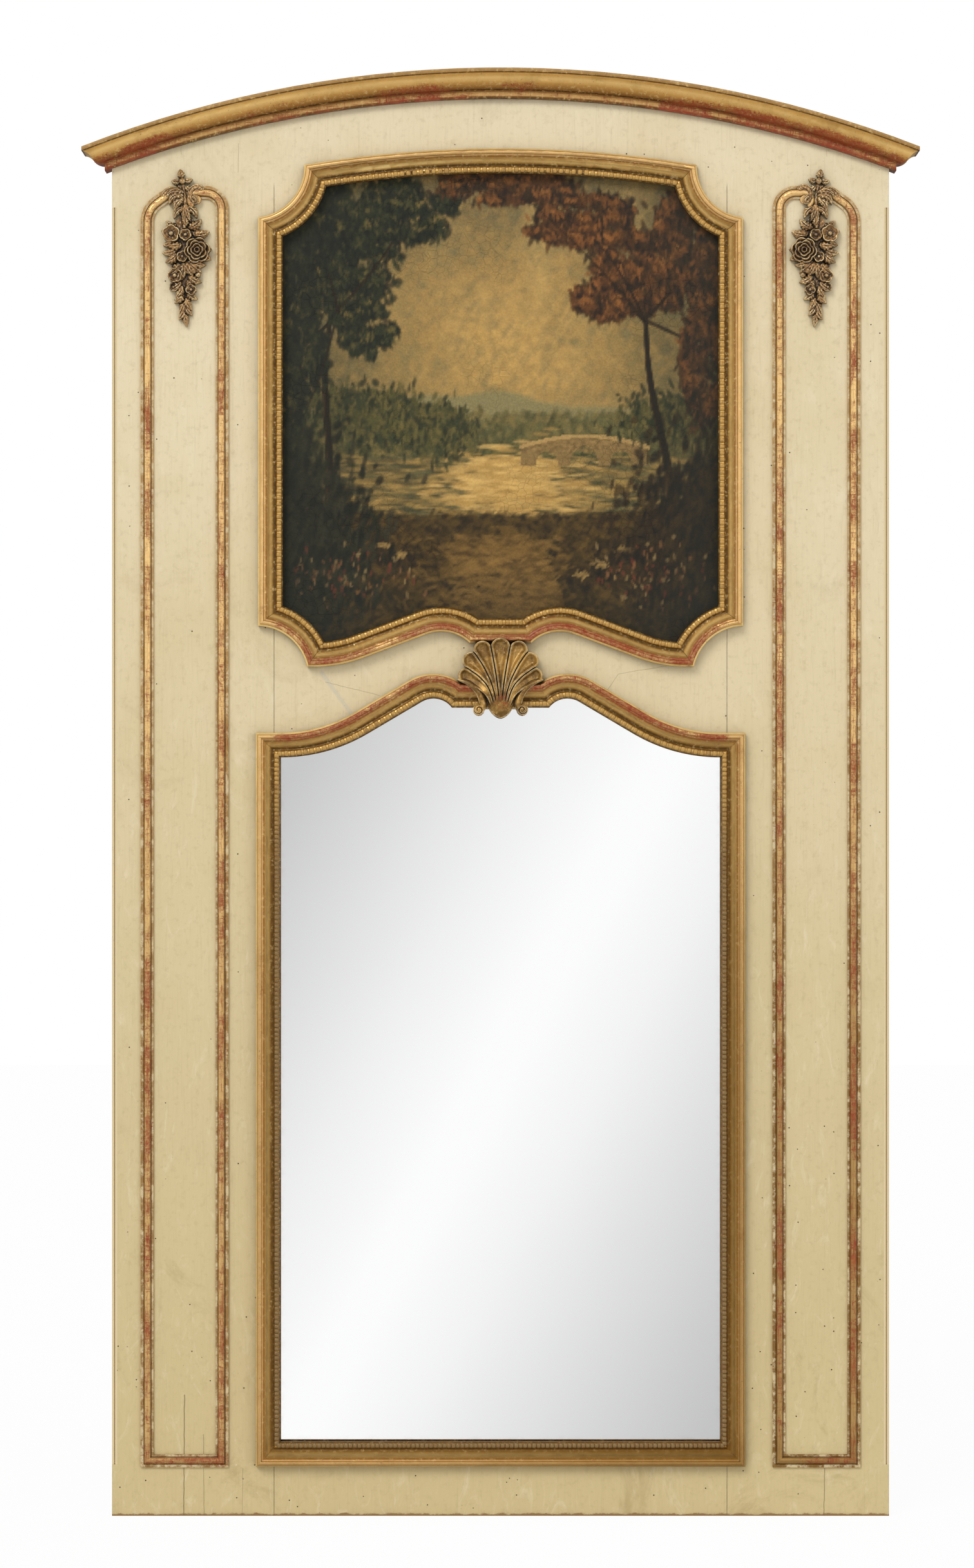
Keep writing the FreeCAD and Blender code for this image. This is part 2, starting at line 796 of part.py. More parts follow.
def hollow_corner(label, side, circle, up, trims):
    """A quarter of a ring around a hollow corner's centre, cut to its two mitres."""
    body = new_body(label)
    cx, cz, radius = circle
    centre_x = cx if side < 0 else -cx
    sketch = sketch_on(body, "section", "YZ_Plane", (0, cz, centre_x))
    draw(sketch, fitted(frame_section(), lambda u, v: (-(face + v), up * (radius - u))))
    revolve(body, "ring", sketch, Size(RING), reverse=(up * side > 0))
    for i, (inner, outer, away) in enumerate(trims):
        mitre(body, f"mitre_{i}", sideways(inner, side), sideways(outer, side), sideways(away, side))
    keep(body)


def serpentine(label, side, section_up, spine, trims):
    """A moulding swept along a level start, a sweep, a straight and a hump."""
    body = new_body(label)
    line = spine if side < 0 else turned(spine)
    path = sketch_on(body, "path", "XZ_Plane", (0, 0, face))
    draw(path, line, closed=False)
    start = line[0]
    sketch = sketch_on(body, "section", "YZ_Plane", (0, 0, start[0]))
    draw(sketch, fitted(frame_section(), lambda u, v: (-(face + v), start[1] + section_up * u)))
    pipe = body.newObject("PartDesign::AdditivePipe", "run")
    pipe.Profile = sketch
    pipe.Spine = (path, [f"Edge{i}" for i in range(1, len(line))])
    for i, (inner, outer, away) in enumerate(trims):
        mitre(body, f"mitre_{i}", sideways(inner, side), sideways(outer, side), sideways(away, side))
    keep(body)


def far_end(circle, sine, cosine):
    """A point past the middle piece, so that the mitre cuts a whole section."""
    cx, cz, radius = circle
    return cx + radius * sine, cz + radius * cosine


def painting_frame():
    sight, edge = painting_points(Size(0)), painting_points(g.frame_width)
    arch = painting_arch(Size(0))
    body = new_body("painting_frame_top")
    sketch = sketch_on(body, "section", "YZ_Plane", (0, arch[1], 0))
    draw(sketch, fitted(frame_section(), lambda u, v: (-(face + v), arch[2] + u)))
    revolve(body, "arc", sketch, spanned(arch[2], painting_half), both_ways=True)
    for side in (-1, 1):
        mitre(
            body,
            "left_mitre" if side < 0 else "right_mitre",
            sideways(sight["head"], side),
            sideways(edge["head"], side),
            (side * FAR, -FAR / 2),
        )
    keep(body)

    for side, name in ((-1, "left"), (1, "right")):
        low, high = sight["low"][1] - g.frame_width * 2, edge["high"][1] + g.frame_width
        body = straight_up(f"painting_frame_{name}", side, frame_section(), painting_half, 1, low, high)
        for end, away in (("low", -FAR), ("high", FAR)):
            mitre(body, f"{end}_mitre", sideways(sight[end], side), sideways(edge[end], side), (0, away))
        keep(body)
        hollow_corner(f"painting_frame_upper_{name}", side, top_corner(Size(0)), -1, [
            (sight["high"], edge["high"], (-FAR, -FAR)),
            (sight["head"], edge["head"], (FAR / 2, FAR)),
        ])
        hollow_corner(f"painting_frame_lower_{name}", side, low_corner(Size(0)), 1, [
            (sight["low"], edge["low"], (-FAR, FAR)),
            (sight["foot"], edge["foot"], (0, -FAR * 1.5)),
        ])
        sweep, hump = painting_sweep(Size(0)), painting_hump(Size(0))
        lowest = sweep[1] - sweep[2]
        leave, arrive = cross_tangent(sweep, hump)
        spine = [
            (sweep[0] - g.frame_width * 1.5, lowest),
            (sweep[0], lowest, sweep[2], -1),
            leave,
            (*arrive, hump[2], 1),
            far_end(hump, 0.8, 0.6),
        ]
        serpentine(f"painting_frame_bottom_{name}", side, -1, spine, [
            (sight["foot"], edge["foot"], (-FAR, 0)),
            (sight["step"], edge["step"], (FAR, 0)),
        ])

    reach = -edge["step"][0] + g.frame_width
    body = straight_across(
        "painting_frame_bottom_centre", frame_section(), painting_step, -1, -reach, reach
    )
    for side in (-1, 1):
        name = "left_mitre" if side < 0 else "right_mitre"
        mitre(body, name, sideways(sight["step"], side), sideways(edge["step"], side), (side * FAR, 0))
    keep(body)


def mirror_frame():
    sight, edge = mirror_points(Size(0)), mirror_points(g.frame_width)
    for side, name in ((-1, "left"), (1, "right")):
        low, high = edge["base"][1], edge["shoulder"][1]
        body = straight_up(f"mirror_frame_{name}", side, frame_section(), mirror_half, 1, low, high)
        for end, away in (("base", (FAR, 0)), ("shoulder", (FAR, 0))):
            mitre(body, f"{end}_mitre", sideways(sight[end], side), sideways(edge[end], side),
                  sideways(away, side))
        keep(body)
        sweep, hump = mirror_sweep(Size(0)), mirror_hump(Size(0))
        leave, arrive = cross_tangent(sweep, hump)
        spine = [
            (sweep[0] - g.frame_width * 1.5, mirror_shoulder),
            (sweep[0], mirror_shoulder, sweep[2], -1),
            leave,
            (*arrive, hump[2], 1),
            far_end(hump, 0.96, 0.28),
        ]
        serpentine(f"mirror_frame_top_{name}", side, 1, spine, [
            (sight["shoulder"], edge["shoulder"], (-FAR, 0)),
            (sight["step"], edge["step"], (FAR, 0)),
        ])
    reach = mirror_half + g.frame_width
    body = straight_across("mirror_frame_bottom", frame_section(), g.mirror_bottom, -1, -reach, reach)
    for side in (-1, 1):
        name = "left_mitre" if side < 0 else "right_mitre"
        mitre(body, name, sideways(sight["base"], side), sideways(edge["base"], side), (side * FAR, 0))
    keep(body)
    reach = -sight["step"][0] + g.frame_width
    body = straight_across("mirror_frame_top_centre", frame_section(), mirror_step, 1, -reach, reach)
    for side in (-1, 1):
        name = "left_mitre" if side < 0 else "right_mitre"
        mitre(body, name, sideways(sight["step"], side), sideways(edge["step"], side), (side * FAR, 0))
    keep(body)


# Cornice


def cornice_section():
    """(how far out, how far down) from the arched top: fillet, ogee and fascia."""
    reach, height = g.cornice_reach, g.cornice_height
    foot = height - g.cornice_fascia
    top = g.cornice_fillet
    middle = ((reach + g.cornice_foot) / 2 + 2, (top + foot) / 2)
    upper = (reach - 2, top + 1)
    lower = (g.cornice_foot + 3, foot - 1)
    return [
        (0, 0),
        (reach, 0),
        (reach, top),
        (*upper, swell(upper, middle, 2.2), 1),
        (*middle, swell(middle, lower, 2.2), -1),
        lower,
        (g.cornice_foot, foot),
        (g.cornice_foot, height),
        (0, height),
    ]


def cornice_front():
    arch = board_arch()
    body = new_body("cornice_front")
    sketch = sketch_on(body, "section", "YZ_Plane", (0, arch[1], 0))
    draw(sketch, fitted(cornice_section(), lambda p, d: (-(face + p), arch[2] - d)))
    revolve(body, "arc", sketch, spanned(arch[2], half_width + g.cornice_reach * 2), both_ways=True)
    for side in (-1, 1):
        inner, outer = side * (half_width - FAR / 10), side * (half_width + g.cornice_reach * 2)
        corners = [
            (inner, -(face - FAR / 10)),
            (outer, -(face + g.cornice_reach * 2)),
            (outer + side * FAR, -(face + g.cornice_reach * 2)),
            (outer + side * FAR, -(face - FAR / 10)),
        ]
        pocket(body, "left_mitre" if side < 0 else "right_mitre", corners, "XY_Plane", (0, 0, 0),
               g.board_crest * 2)
    keep(body)


def cornice_return(label, side):
    """The moulding along the board's side, cut to meet the arched front in a mitre."""
    arch = board_arch()

    def place(out, down):
        x = half_width + out
        radius = arch[2] - down
        return side * x, arch[1] + root(radius * radius - x * x)

    body = new_body(label)
    sketch = sketch_on(body, "section", "XZ_Plane")
    draw(sketch, fitted(cornice_section(), place))
    pad(body, "run", sketch, face + g.cornice_reach)
    inner, outer = side * (half_width - FAR / 10), side * (half_width + g.cornice_reach * 2)
    corners = [
        (inner, -(face - FAR / 10)),
        (outer, -(face + g.cornice_reach * 2)),
        (inner, -(face + g.cornice_reach * 2)),
    ]
    pocket(body, "mitre", corners, "XY_Plane", (0, 0, 0), g.board_crest * 2)
    keep(body)


# Side panels


def bent(point, heading, radius, turn):
    """Goes round an arc. heading and turn in degrees, turn positive to the left."""
    start = math.radians(heading)
    side = 1 if turn > 0 else -1
    cx = point[0] - side * math.sin(start) * radius
    cz = point[1] + side * math.cos(start) * radius
    end = math.radians(heading + turn)
    return (cx + side * math.sin(end) * radius, cz - side * math.cos(end) * radius), heading + turn, (cx, cz)


def ahead(point, heading, run):
    return point[0] + math.cos(math.radians(heading)) * run, point[1] + math.sin(math.radians(heading)) * run


def shoulder(label, start, steps):
    """A swept end of a panel's side that turns over the top into a curl with a round eye."""
    body = new_body(label)
    line = []
    point, heading = start, 90.0
    for kind, size, turn in steps:
        if kind == "run":
            line.append(point)
            point = ahead(point, heading, size)
        else:
            half = turn / 2
            for _ in range(2):
                line.append((*point, size, -1 if half > 0 else 1))
                point, heading, centre = bent(point, heading, size, half)
    line.append(point)
    path = sketch_on(body, "path", "XZ_Plane", (0, 0, face))
    draw(path, line, closed=False)
    half = g.panel_width / 2
    toward = 1 if steps[0][2] < 0 else -1
    sketch = sketch_on(body, "section", "XY_Plane", (0, 0, start[1]))
    draw(sketch, fitted(panel_section(), lambda u, v: (start[0] + toward * (u - half), -(face + v))))
    pipe = body.newObject("PartDesign::AdditivePipe", "run")
    pipe.Profile = sketch
    pipe.Spine = (path, [f"Edge{i}" for i in range(1, len(line))])
    eye = sketch_on(body, "eye_outline", "XZ_Plane", (0, 0, face))
    eye.addGeometry(Part.Circle(Vector(centre[0].number, centre[1].number, 0), Vector(0, 0, 1), 1))
    eye.addConstraint([
        Sketcher.Constraint("DistanceX", -1, 1, 0, 3, centre[0].number),
        Sketcher.Constraint("DistanceY", -1, 1, 0, 3, centre[1].number),
        Sketcher.Constraint("Radius", 0, 1),
    ])
    tie(eye, "Constraints[0]", centre[0])
    tie(eye, "Constraints[1]", centre[1])
    tie(eye, "Constraints[2]", g.volute * 0.55)
    pad(body, "eye", eye, g.panel_rise)
    keep(body)


def side_panel(name, side):
    section = panel_section()
    outer, inner, width = panel_outer, panel_inner, g.panel_width
    low, depth = g.panel_bottom, g.panel_rise * 4 + face
    body = straight_up(f"{name}_panel_outer", side, section, outer, -1, low, panel_low_spring)
    mitre(body, "mitre", (side * outer, low), (side * (outer - width), low + width), (-side * FAR, 0), depth)
    keep(body)
    body = straight_up(f"{name}_panel_inner", side, section, inner, 1, low, panel_spring)
    mitre(body, "mitre", (side * inner, low), (side * (inner + width), low + width), (side * FAR, 0), depth)
    keep(body)
    left, right = (-outer, -inner) if side < 0 else (inner, outer)
    body = straight_across(f"{name}_panel_bottom", section, low, 1, left, right)
    mitre(body, "left_mitre", (left, low), (left + width, low + width), (-FAR, 0), depth)
    mitre(body, "right_mitre", (right, low), (right - width, low + width), (FAR, 0), depth)
    keep(body)
    half = width / 2
    shoulder(f"{name}_panel_inner_shoulder", (side * (inner + half), panel_spring), [
        ("bend", g.inner_round - half, -90 * side),
        ("run", g.inner_run, -side),
        ("bend", g.volute, -g.volute_turn.number * side),
    ])
    shoulder(f"{name}_panel_outer_shoulder", (side * (outer - half), panel_low_spring), [
        ("bend", g.outer_round - half, g.outer_turn.number * side),
        ("run", g.outer_run, side),
        ("bend", g.volute, g.volute_turn.number * side),
    ])


# Carved ornaments, built of solids and cut flat where they lie on the board


def solid(kind, name, base, turn=None, **sizes):
    """A primitive at base (x, y, z), turned by turn degrees about +Y."""
    shape = doc.addObject(kind, name)
    for prop, value in sizes.items():
        tie(shape, prop, value)
    if turn is not None:
        shape.Placement.Rotation = Rotation(Vector(0, 1, 0), turn)
    for letter, value in zip("xyz", base):
        tie(shape, f".Placement.Base.{letter}", value)
    return shape


def fuse(name, shapes):
    joined = doc.addObject("Part::MultiFuse", name)
    joined.Shapes = shapes
    return joined


def cut(name, base, tool):
    result = doc.addObject("Part::Cut", name)
    result.Base = base
    result.Tool = tool
    return result


def behind_face(name):
    """Everything behind the board's face, near the middle of the object."""
    return solid("Part::Box", name, (-half_width, -face, mirror_shoulder),
                 Length=g.board_width, Width=face * 4, Height=g.board_crest - mirror_shoulder)


def boss(name, x, z, half, rise):
    """A ball that stands out of the board as a round cap this wide and this high."""
    half, rise = sized(half), sized(rise)
    radius = (half * half + rise * rise) / (rise * 2)
    return solid("Part::Sphere", name, (sized(x), radius - rise - face, sized(z)), Radius=radius)


def flute(index, angle, length, width):
    """A body and a hollow, both a cone with a round end, that lean back from the base."""
    base = (Size(0), -(face + g.shell_rise), shell_base)
    lean = math.degrees(math.atan2(g.shell_rise.number - g.shell_edge.number, length.number))
    spin = Rotation(Vector(0, 1, 0), angle) * Rotation(Vector(1, 0, 0), lean * -1)
    tip = spin.multVec(Vector(0, 0, 1))
    parts = []
    for name, less, forward in (("body", Size(0), Size(0)), ("hollow", g.flute_wall, g.flute_depth)):
        end_radius = g.flute_end * width - less
        root_radius = g.flute_root - less
        cone = doc.addObject("Part::Cone", f"flute_{name}")
        tie(cone, "Radius1", root_radius)
        tie(cone, "Radius2", end_radius)
        tie(cone, "Height", length)
        cone.Placement.Rotation = spin
        ball = doc.addObject("Part::Sphere", f"flute_{name}_end")
        tie(ball, "Radius", end_radius)
        for shape, far in ((cone, 0), (ball, 1)):
            tie(shape, ".Placement.Base.x", base[0] + length * (tip.x * far))
            tie(shape, ".Placement.Base.y", base[1] - forward + length * (tip.y * far))
            tie(shape, ".Placement.Base.z", base[2] + length * (tip.z * far))
        parts.append(fuse(f"flute_{name}_{index}", [cone, ball]))
    return parts


# Each flute: degrees from upright, length in flute ends, width
FLUTES = [
    (-62, 4.7, 0.92),
    (-40, 5.6, 0.96),
    (-20, 6.2, 1),
    (0, 6.2, 1),
    (20, 6.2, 1),
    (40, 5.6, 0.96),
    (62, 4.7, 0.92),
]


def shell():
    """Seven flutes on a domed body, with two scrolled ears and a tongue below."""
    bodies, hollows = [], []
    for i, (angle, length, width) in enumerate(FLUTES):
        body, hollow = flute(i, angle, g.flute_end * length, width)
        bodies.append(body)
        hollows.append(hollow)
    dome = boss("shell_dome", 0, shell_base + g.dome_up, g.dome_half, g.shell_rise)
    tongue = solid("Part::Cone", "shell_tongue", (0, -(face + g.shell_rise), shell_base - g.tongue_length),
                   Radius1=g.tongue_tip, Radius2=g.tongue_root, Height=g.tongue_length + g.flute_end)
    tip = solid("Part::Sphere", "shell_tongue_tip", (0, -(face + g.shell_rise), shell_base - g.tongue_length),
                Radius=g.tongue_tip)
    ears = [tip]
    for side in (-1, 1):
        ears.append(solid("Part::Sphere", "shell_ear",
                          (side * g.ear_spread, -(face + g.shell_rise), shell_base - g.ear_drop),
                          Radius=g.ear_radius))
        ears.append(solid("Part::Cone", "shell_ear_root",
                          (side * g.ear_spread / 3, -(face + g.shell_rise), shell_base + g.tongue_tip),
                          turn=side * 133, Radius1=g.ear_radius, Radius2=g.ear_radius * 0.6,
                          Height=g.ear_spread * 0.8))
    whole = fuse("shell_whole", bodies + [dome, tongue] + ears)
    fluted = cut("shell_fluted", whole, fuse("shell_hollows", hollows))
    flat = cut("shell_flat", fluted, behind_face("shell_board_face"))
    play = g.fit
    channel = solid("Part::Box", "shell_channel",
                    (-mirror_half / 2, -(face + g.frame_rise + play), mirror_step - FAR),
                    Length=mirror_half, Width=g.frame_rise + play * 2, Height=g.frame_width + FAR + play)
    result = cut("shell_ornament", flat, channel)
    upper = solid("Part::Box", "shell_top_limit",
                  (-mirror_half / 2, -(face + FAR), painting_step - g.frame_width - play),
                  Length=mirror_half, Width=Size(FAR * 2), Height=Size(FAR))
    result = cut("shell_ornament", result, upper)
    result.Label = "shell_ornament"
    keep(result, "shell_ornament")


# A drop's bosses, from the waist: towards the middle line, up, half width, rise
BOSSES = [
    (0, 128, 8, 11),
    (0, 114, 7, 9),
    (-14, 60, 12, 11),
    (9, 66, 11, 10),
    (-2, 48, 11, 14),
    (15, 20, 17, 19),
    (-12, 34, 12, 15),
    (-15, 14, 12, 12),
    (-8, -8, 13, 14),
    (8, -16, 12, 13),
    (-5, -34, 10, 10),
    (4, -50, 9, 9),
    (-1, -66, 7, 8),
    (0, -78, 5, 6),
]


def flower_drop(label, side):
    """A finial and stem between the curls, then a tapering bunch of bosses."""
    middle = side * (panel_outer + panel_inner) / 2
    body = new_body(f"{label}_ground")
    sketch = sketch_on(body, "outline", "XZ_Plane", (0, 0, face))
    neck = Size(3.5)
    shoulder_height, finial, tip = drop_waist + g.neck_up, drop_waist + g.finial_up, drop_waist - g.tip_down
    draw(sketch, [
        (middle - neck, shoulder_height),
        (middle - g.drop_half * 0.6, shoulder_height - 20),
        (middle - g.drop_half, drop_waist),
        (middle - 3, tip),
        (middle + 3, tip),
        (middle + g.drop_half, drop_waist),
        (middle + g.drop_half * 0.6, shoulder_height - 20),
        (middle + neck, shoulder_height),
        (middle + neck, finial - 12),
        (middle - neck, finial - 12),
    ])
    pad(body, "ground", sketch, g.drop_thickness)
    bosses = []
    for i, (across, up, wide, rise) in enumerate(BOSSES):
        bosses.append(boss(f"{label}_boss_{i}", middle - side * across, drop_waist + up, wide, rise))
    whole = fuse(f"{label}_whole", [body] + bosses)
    result = cut(label, whole, behind_face(f"{label}_board_face"))
    result.Label = label
    keep(result, label)


# Painting, mirror plate and what holds them


def slab(label, left, right, low, high, front, back):
    """A plain board between two planes: front and back are distances from the wall."""
    body = new_body(label)
    sketch = sketch_on(body, "outline", "XZ_Plane", (0, 0, sized(back)))
    draw(sketch, block(left, right, low, high))
    pad(body, "board", sketch, sized(front) - sized(back))
    return body


def canvas_and_stretcher():
    reach = g.stile_inside + g.rebate_width - g.edge_play
    low, high = canvas_bottom, canvas_top
    front = rebate_depth - g.canvas_thickness
    back = front - g.bar_thickness
    keep(slab("painting_canvas", -reach, reach, low, high, rebate_depth, front))
    third = g.bar_thickness / 3
    width = g.bar_width
    middle = (low + high) / 2
    for name, bottom, top in (("top", high - width, high), ("bottom", low, low + width)):
        body = slab(f"stretcher_{name}", -reach, reach, bottom, top, front, back)
        edge = bottom if name == "top" else top
        for side in (-1, 1):
            corners = block(side * reach - width, side * reach + width, -(front - third), -(back + third))
            corners = [(x, y) for x, y in corners]
            pocket(body, f"mortise_{'left' if side < 0 else 'right'}", corners, "XY_Plane", (0, 0, edge),
                   g.bar_tenon)
        keep(body)
    for name, side in (("left", -1), ("right", 1)):
        outer, inner = side * reach, side * (reach - width)
        body = slab(f"stretcher_{name}", outer, inner, low + width, high - width, front, back)
        tenon = sketch_on(body, "tenon_outline", "XY_Plane", (0, 0, middle))
        draw(tenon, block(outer, inner, -(front - third), -(back + third)))
        pad(body, "tenons", tenon, high - low - width * 2 + g.bar_tenon * 2, both_ways=True)
        corners = block(-(front - third), -(back + third), middle - width / 2, middle + width / 2)
        pocket(body, "cross_mortise", corners, "YZ_Plane", (0, 0, inner), g.bar_tenon)
        keep(body)
    inner = reach - width
    body = slab("stretcher_cross", -inner, inner, middle - width / 2, middle + width / 2, front, back)
    tenon = sketch_on(body, "tenon_outline", "YZ_Plane")
    draw(tenon, block(-(front - third), -(back + third), middle - width / 2, middle + width / 2))
    pad(body, "tenons", tenon, (inner + g.bar_tenon) * 2, both_ways=True)
    keep(body)
    holding_blocks("stretcher_blocks", low, high, back, Size(0), (0.2, 0.8))


def holding_blocks(label, low, high, front, back, shares):
    """Softwood blocks against the rebate's walls, behind what they hold."""
    outer = g.stile_inside + g.rebate_width
    blocks = []
    for side in (-1, 1):
        for share in shares:
            z = low + (high - low) * share - g.block_length / 2
            left = -outer if side < 0 else outer - g.block_width
            blocks.append(solid("Part::Box", f"{label}_side", (left, -front, z),
                                Length=g.block_width, Width=front - back, Height=g.block_length))
    for x in (-painting_half / 2, painting_half / 2):
        for z in (low - g.edge_play, high + g.edge_play - g.block_width):
            blocks.append(solid("Part::Box", f"{label}_end", (x - g.block_length / 2, -front, z),
                                Length=g.block_length, Width=front - back, Height=g.block_width))
    group(label, blocks)


def plate_and_backing():
    reach = g.stile_inside + g.rebate_width - g.edge_play
    low, high = plate_bottom, plate_top
    front = rebate_depth - g.plate_thickness
    keep(slab("mirror_plate", -reach, reach, low, high, rebate_depth, front))
    holding_blocks("plate_blocks", low, high, front, g.backing_thickness, (0.1, 0.37, 0.63, 0.9))
    board = (reach * 2 - g.backing_gap * 2) / 3
    for i, name in enumerate(("left", "middle", "right")):
        left = -reach + (board + g.backing_gap) * i
        keep(slab(f"backing_board_{name}", left, left + board, low, high, g.backing_thickness, 0))


def hanger_plate(label, side):
    """An iron plate let in flush, with a hole for a wall hook and two countersunk screw holes."""
    x = side * hanger_x
    body = slab(label, x - g.hanger_width / 2, x + g.hanger_width / 2,
                hanger_height - g.hanger_length / 2, hanger_height + g.hanger_length / 2,
                g.hanger_thickness, 0)
    drill(body, "hook_hole", [(x, hanger_height)], g.hook_radius, "XZ_Plane", (0, 0, 0), g.board_thickness)
    for i, (sx, sz) in enumerate(hanger_spots(side)):
        sketch = sketch_on(body, f"countersink_{i}_section", "XY_Plane", (0, 0, sz))
        draw(sketch, [
            (sx, 0),
            (sx + g.screw_head, 0),
            (sx + g.screw_radius, -(g.screw_head - g.screw_radius)),
            (sx + g.screw_radius, -g.hanger_thickness),
            (sx, -g.hanger_thickness),
        ])
        axis = sketch.addGeometry(Part.LineSegment(Vector(sx.number, 0, 0), Vector(sx.number, -5, 0)), True)
        sketch.addConstraint([
            Sketcher.Constraint("Vertical", axis),
            Sketcher.Constraint("DistanceX", -1, 1, axis, 1, sx.number),
            Sketcher.Constraint("DistanceY", -1, 1, axis, 1, 0),
            Sketcher.Constraint("DistanceY", -1, 1, axis, 2, -5),
        ])
        tie(sketch, f"Constraints[{sketch.ConstraintCount - 3}]", sx)
        groove = body.newObject("PartDesign::Groove", f"countersink_{i}")
        groove.Profile = sketch
        groove.ReferenceAxis = (sketch, ["Axis0"])
        groove.Angle = 360
    keep(body)


def hanger_screws():
    screws = []
    for side in (-1, 1):
        for x, z in hanger_spots(side):
            head_height = g.screw_head - g.screw_radius
            head = solid("Part::Cone", "screw_head", (x, Size(0), z),
                         Radius1=g.screw_head, Radius2=g.screw_radius, Height=head_height)
            head.Placement.Rotation = Rotation(Vector(1, 0, 0), 90)
            shank = solid("Part::Cylinder", "screw_shank", (x, -head_height, z),
                          Radius=g.screw_radius, Height=g.screw_length - head_height)
            shank.Placement.Rotation = Rotation(Vector(1, 0, 0), 90)
            screws.append(fuse("screw", [head, shank]))
    group("hanger_screws", screws)


# The whole object

stile("left_stile", -1)
stile("right_stile", 1)
top_rail()
middle_rail()
bottom_rail()
joint_pegs()
edge_strip("left_edge_strip", -1)
edge_strip("right_edge_strip", 1)
cornice_front()
cornice_return("cornice_return_left", -1)
cornice_return("cornice_return_right", 1)
painting_frame()
mirror_frame()
shell()
for name, side in (("left", -1), ("right", 1)):
    side_panel(name, side)
    flower_drop(f"{name}_flower_drop", side)
    hanger_plate(f"{name}_hanger_plate", side)
canvas_and_stretcher()
plate_and_backing()
hanger_screws()

doc.recompute()

faults = [f"{o.Name}: {o.State}" for o in doc.Objects if {"Invalid", "Error"} & set(o.State)]
for label, thing in kept:
    shape = thing.Shape
    if shape.isNull() or not shape.isValid():
        faults.append(f"{label}: no valid shape")
if faults:
    raise RuntimeError("; ".join(faults))

os.makedirs("parts", exist_ok=True)
for label, thing in kept:
    thing.Shape.exportStep(f"parts/{label}.step")
print(f"{len(kept)} sub-parts")
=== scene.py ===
"""The looks of an arched trumeau mirror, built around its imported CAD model."""

import json
import math

import bpy
import numpy as np
from bpy.props import FloatProperty, FloatVectorProperty, IntProperty, PointerProperty
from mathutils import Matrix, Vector


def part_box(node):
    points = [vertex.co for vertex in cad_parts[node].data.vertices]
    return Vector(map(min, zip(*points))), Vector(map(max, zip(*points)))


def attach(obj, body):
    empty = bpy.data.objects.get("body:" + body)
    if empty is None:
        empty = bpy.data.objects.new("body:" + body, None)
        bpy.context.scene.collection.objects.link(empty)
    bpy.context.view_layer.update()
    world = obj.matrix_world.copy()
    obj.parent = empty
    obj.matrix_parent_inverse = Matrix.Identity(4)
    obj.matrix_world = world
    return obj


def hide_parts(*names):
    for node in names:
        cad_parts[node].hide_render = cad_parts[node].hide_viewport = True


bl_info = {
    "name": "Trumeau mirror",
    "version": (1, 0, 0),
    "blender": (4, 5, 0),
    "location": "View3D > Sidebar > Trumeau",
    "description": "Paint, gilding, carving, picture and glass of an arched trumeau mirror",
    "category": "Object",
}

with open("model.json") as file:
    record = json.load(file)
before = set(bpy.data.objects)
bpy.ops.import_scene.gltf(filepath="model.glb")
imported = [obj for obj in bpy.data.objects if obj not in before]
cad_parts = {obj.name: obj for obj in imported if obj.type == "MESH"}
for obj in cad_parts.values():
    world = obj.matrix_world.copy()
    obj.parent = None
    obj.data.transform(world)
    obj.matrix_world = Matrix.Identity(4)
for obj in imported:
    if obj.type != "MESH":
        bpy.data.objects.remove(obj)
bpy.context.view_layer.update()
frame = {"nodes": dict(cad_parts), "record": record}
nodes = frame["nodes"]

# The photograph: its size in pixels, and the pixel of the object's foot on its middle line
PHOTO_WIDTH, PHOTO_HEIGHT = 1512, 2435
MIDDLE_PX, FOOT_PX = 777, 2354
METRES_PER_PIXEL = 0.00095

# The board and its two sight lines, in metres, as the CAD model has them
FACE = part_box("middle_rail")[0].y
RAIL = 1.204
ARCH = (0.0, 0.441, 1.690)
STILE_INSIDE = 0.334
PAINTING_HALF = 0.321
PAINTING_CREST = 1.980
MIRROR_HALF = 0.3245
MIRROR_BOTTOM = 0.110
MIRROR_SHOULDER = RAIL - 0.085
MIRROR_STEP = RAIL - 0.0115
PAINTING_STEP = RAIL + 0.1195
FRAME_WIDTH = 0.036
FRAME_RISE = 0.022
BEAD_LINE = 0.0055
BEAD_SEAT = 0.0062
# A bead's length for a pitch of 1, then its width and rise in metres
FINE_BEAD = (0.80, 0.0080, 0.0037)
ROPE_BEAD = (1.04, 0.0078, 0.0034)
# From the middle line to where a board's face ends and its edge strip starts
EDGE_STRIP = (0.5575, 0.5590)
# Of the linen's weave, in radians for each metre
THREADS = 7000.0
# Between the shell's back and the mirror's frame
CLEARANCE = 0.0003
ARC_STEPS = 24


# Colours


def ink(code):
    """A linear colour from a hexadecimal screen colour."""
    parts = [int(code[i:i + 2], 16) / 255 for i in (1, 3, 5)]
    return tuple(p / 12.92 if p <= 0.04045 else ((p + 0.055) / 1.055) ** 2.4 for p in parts)


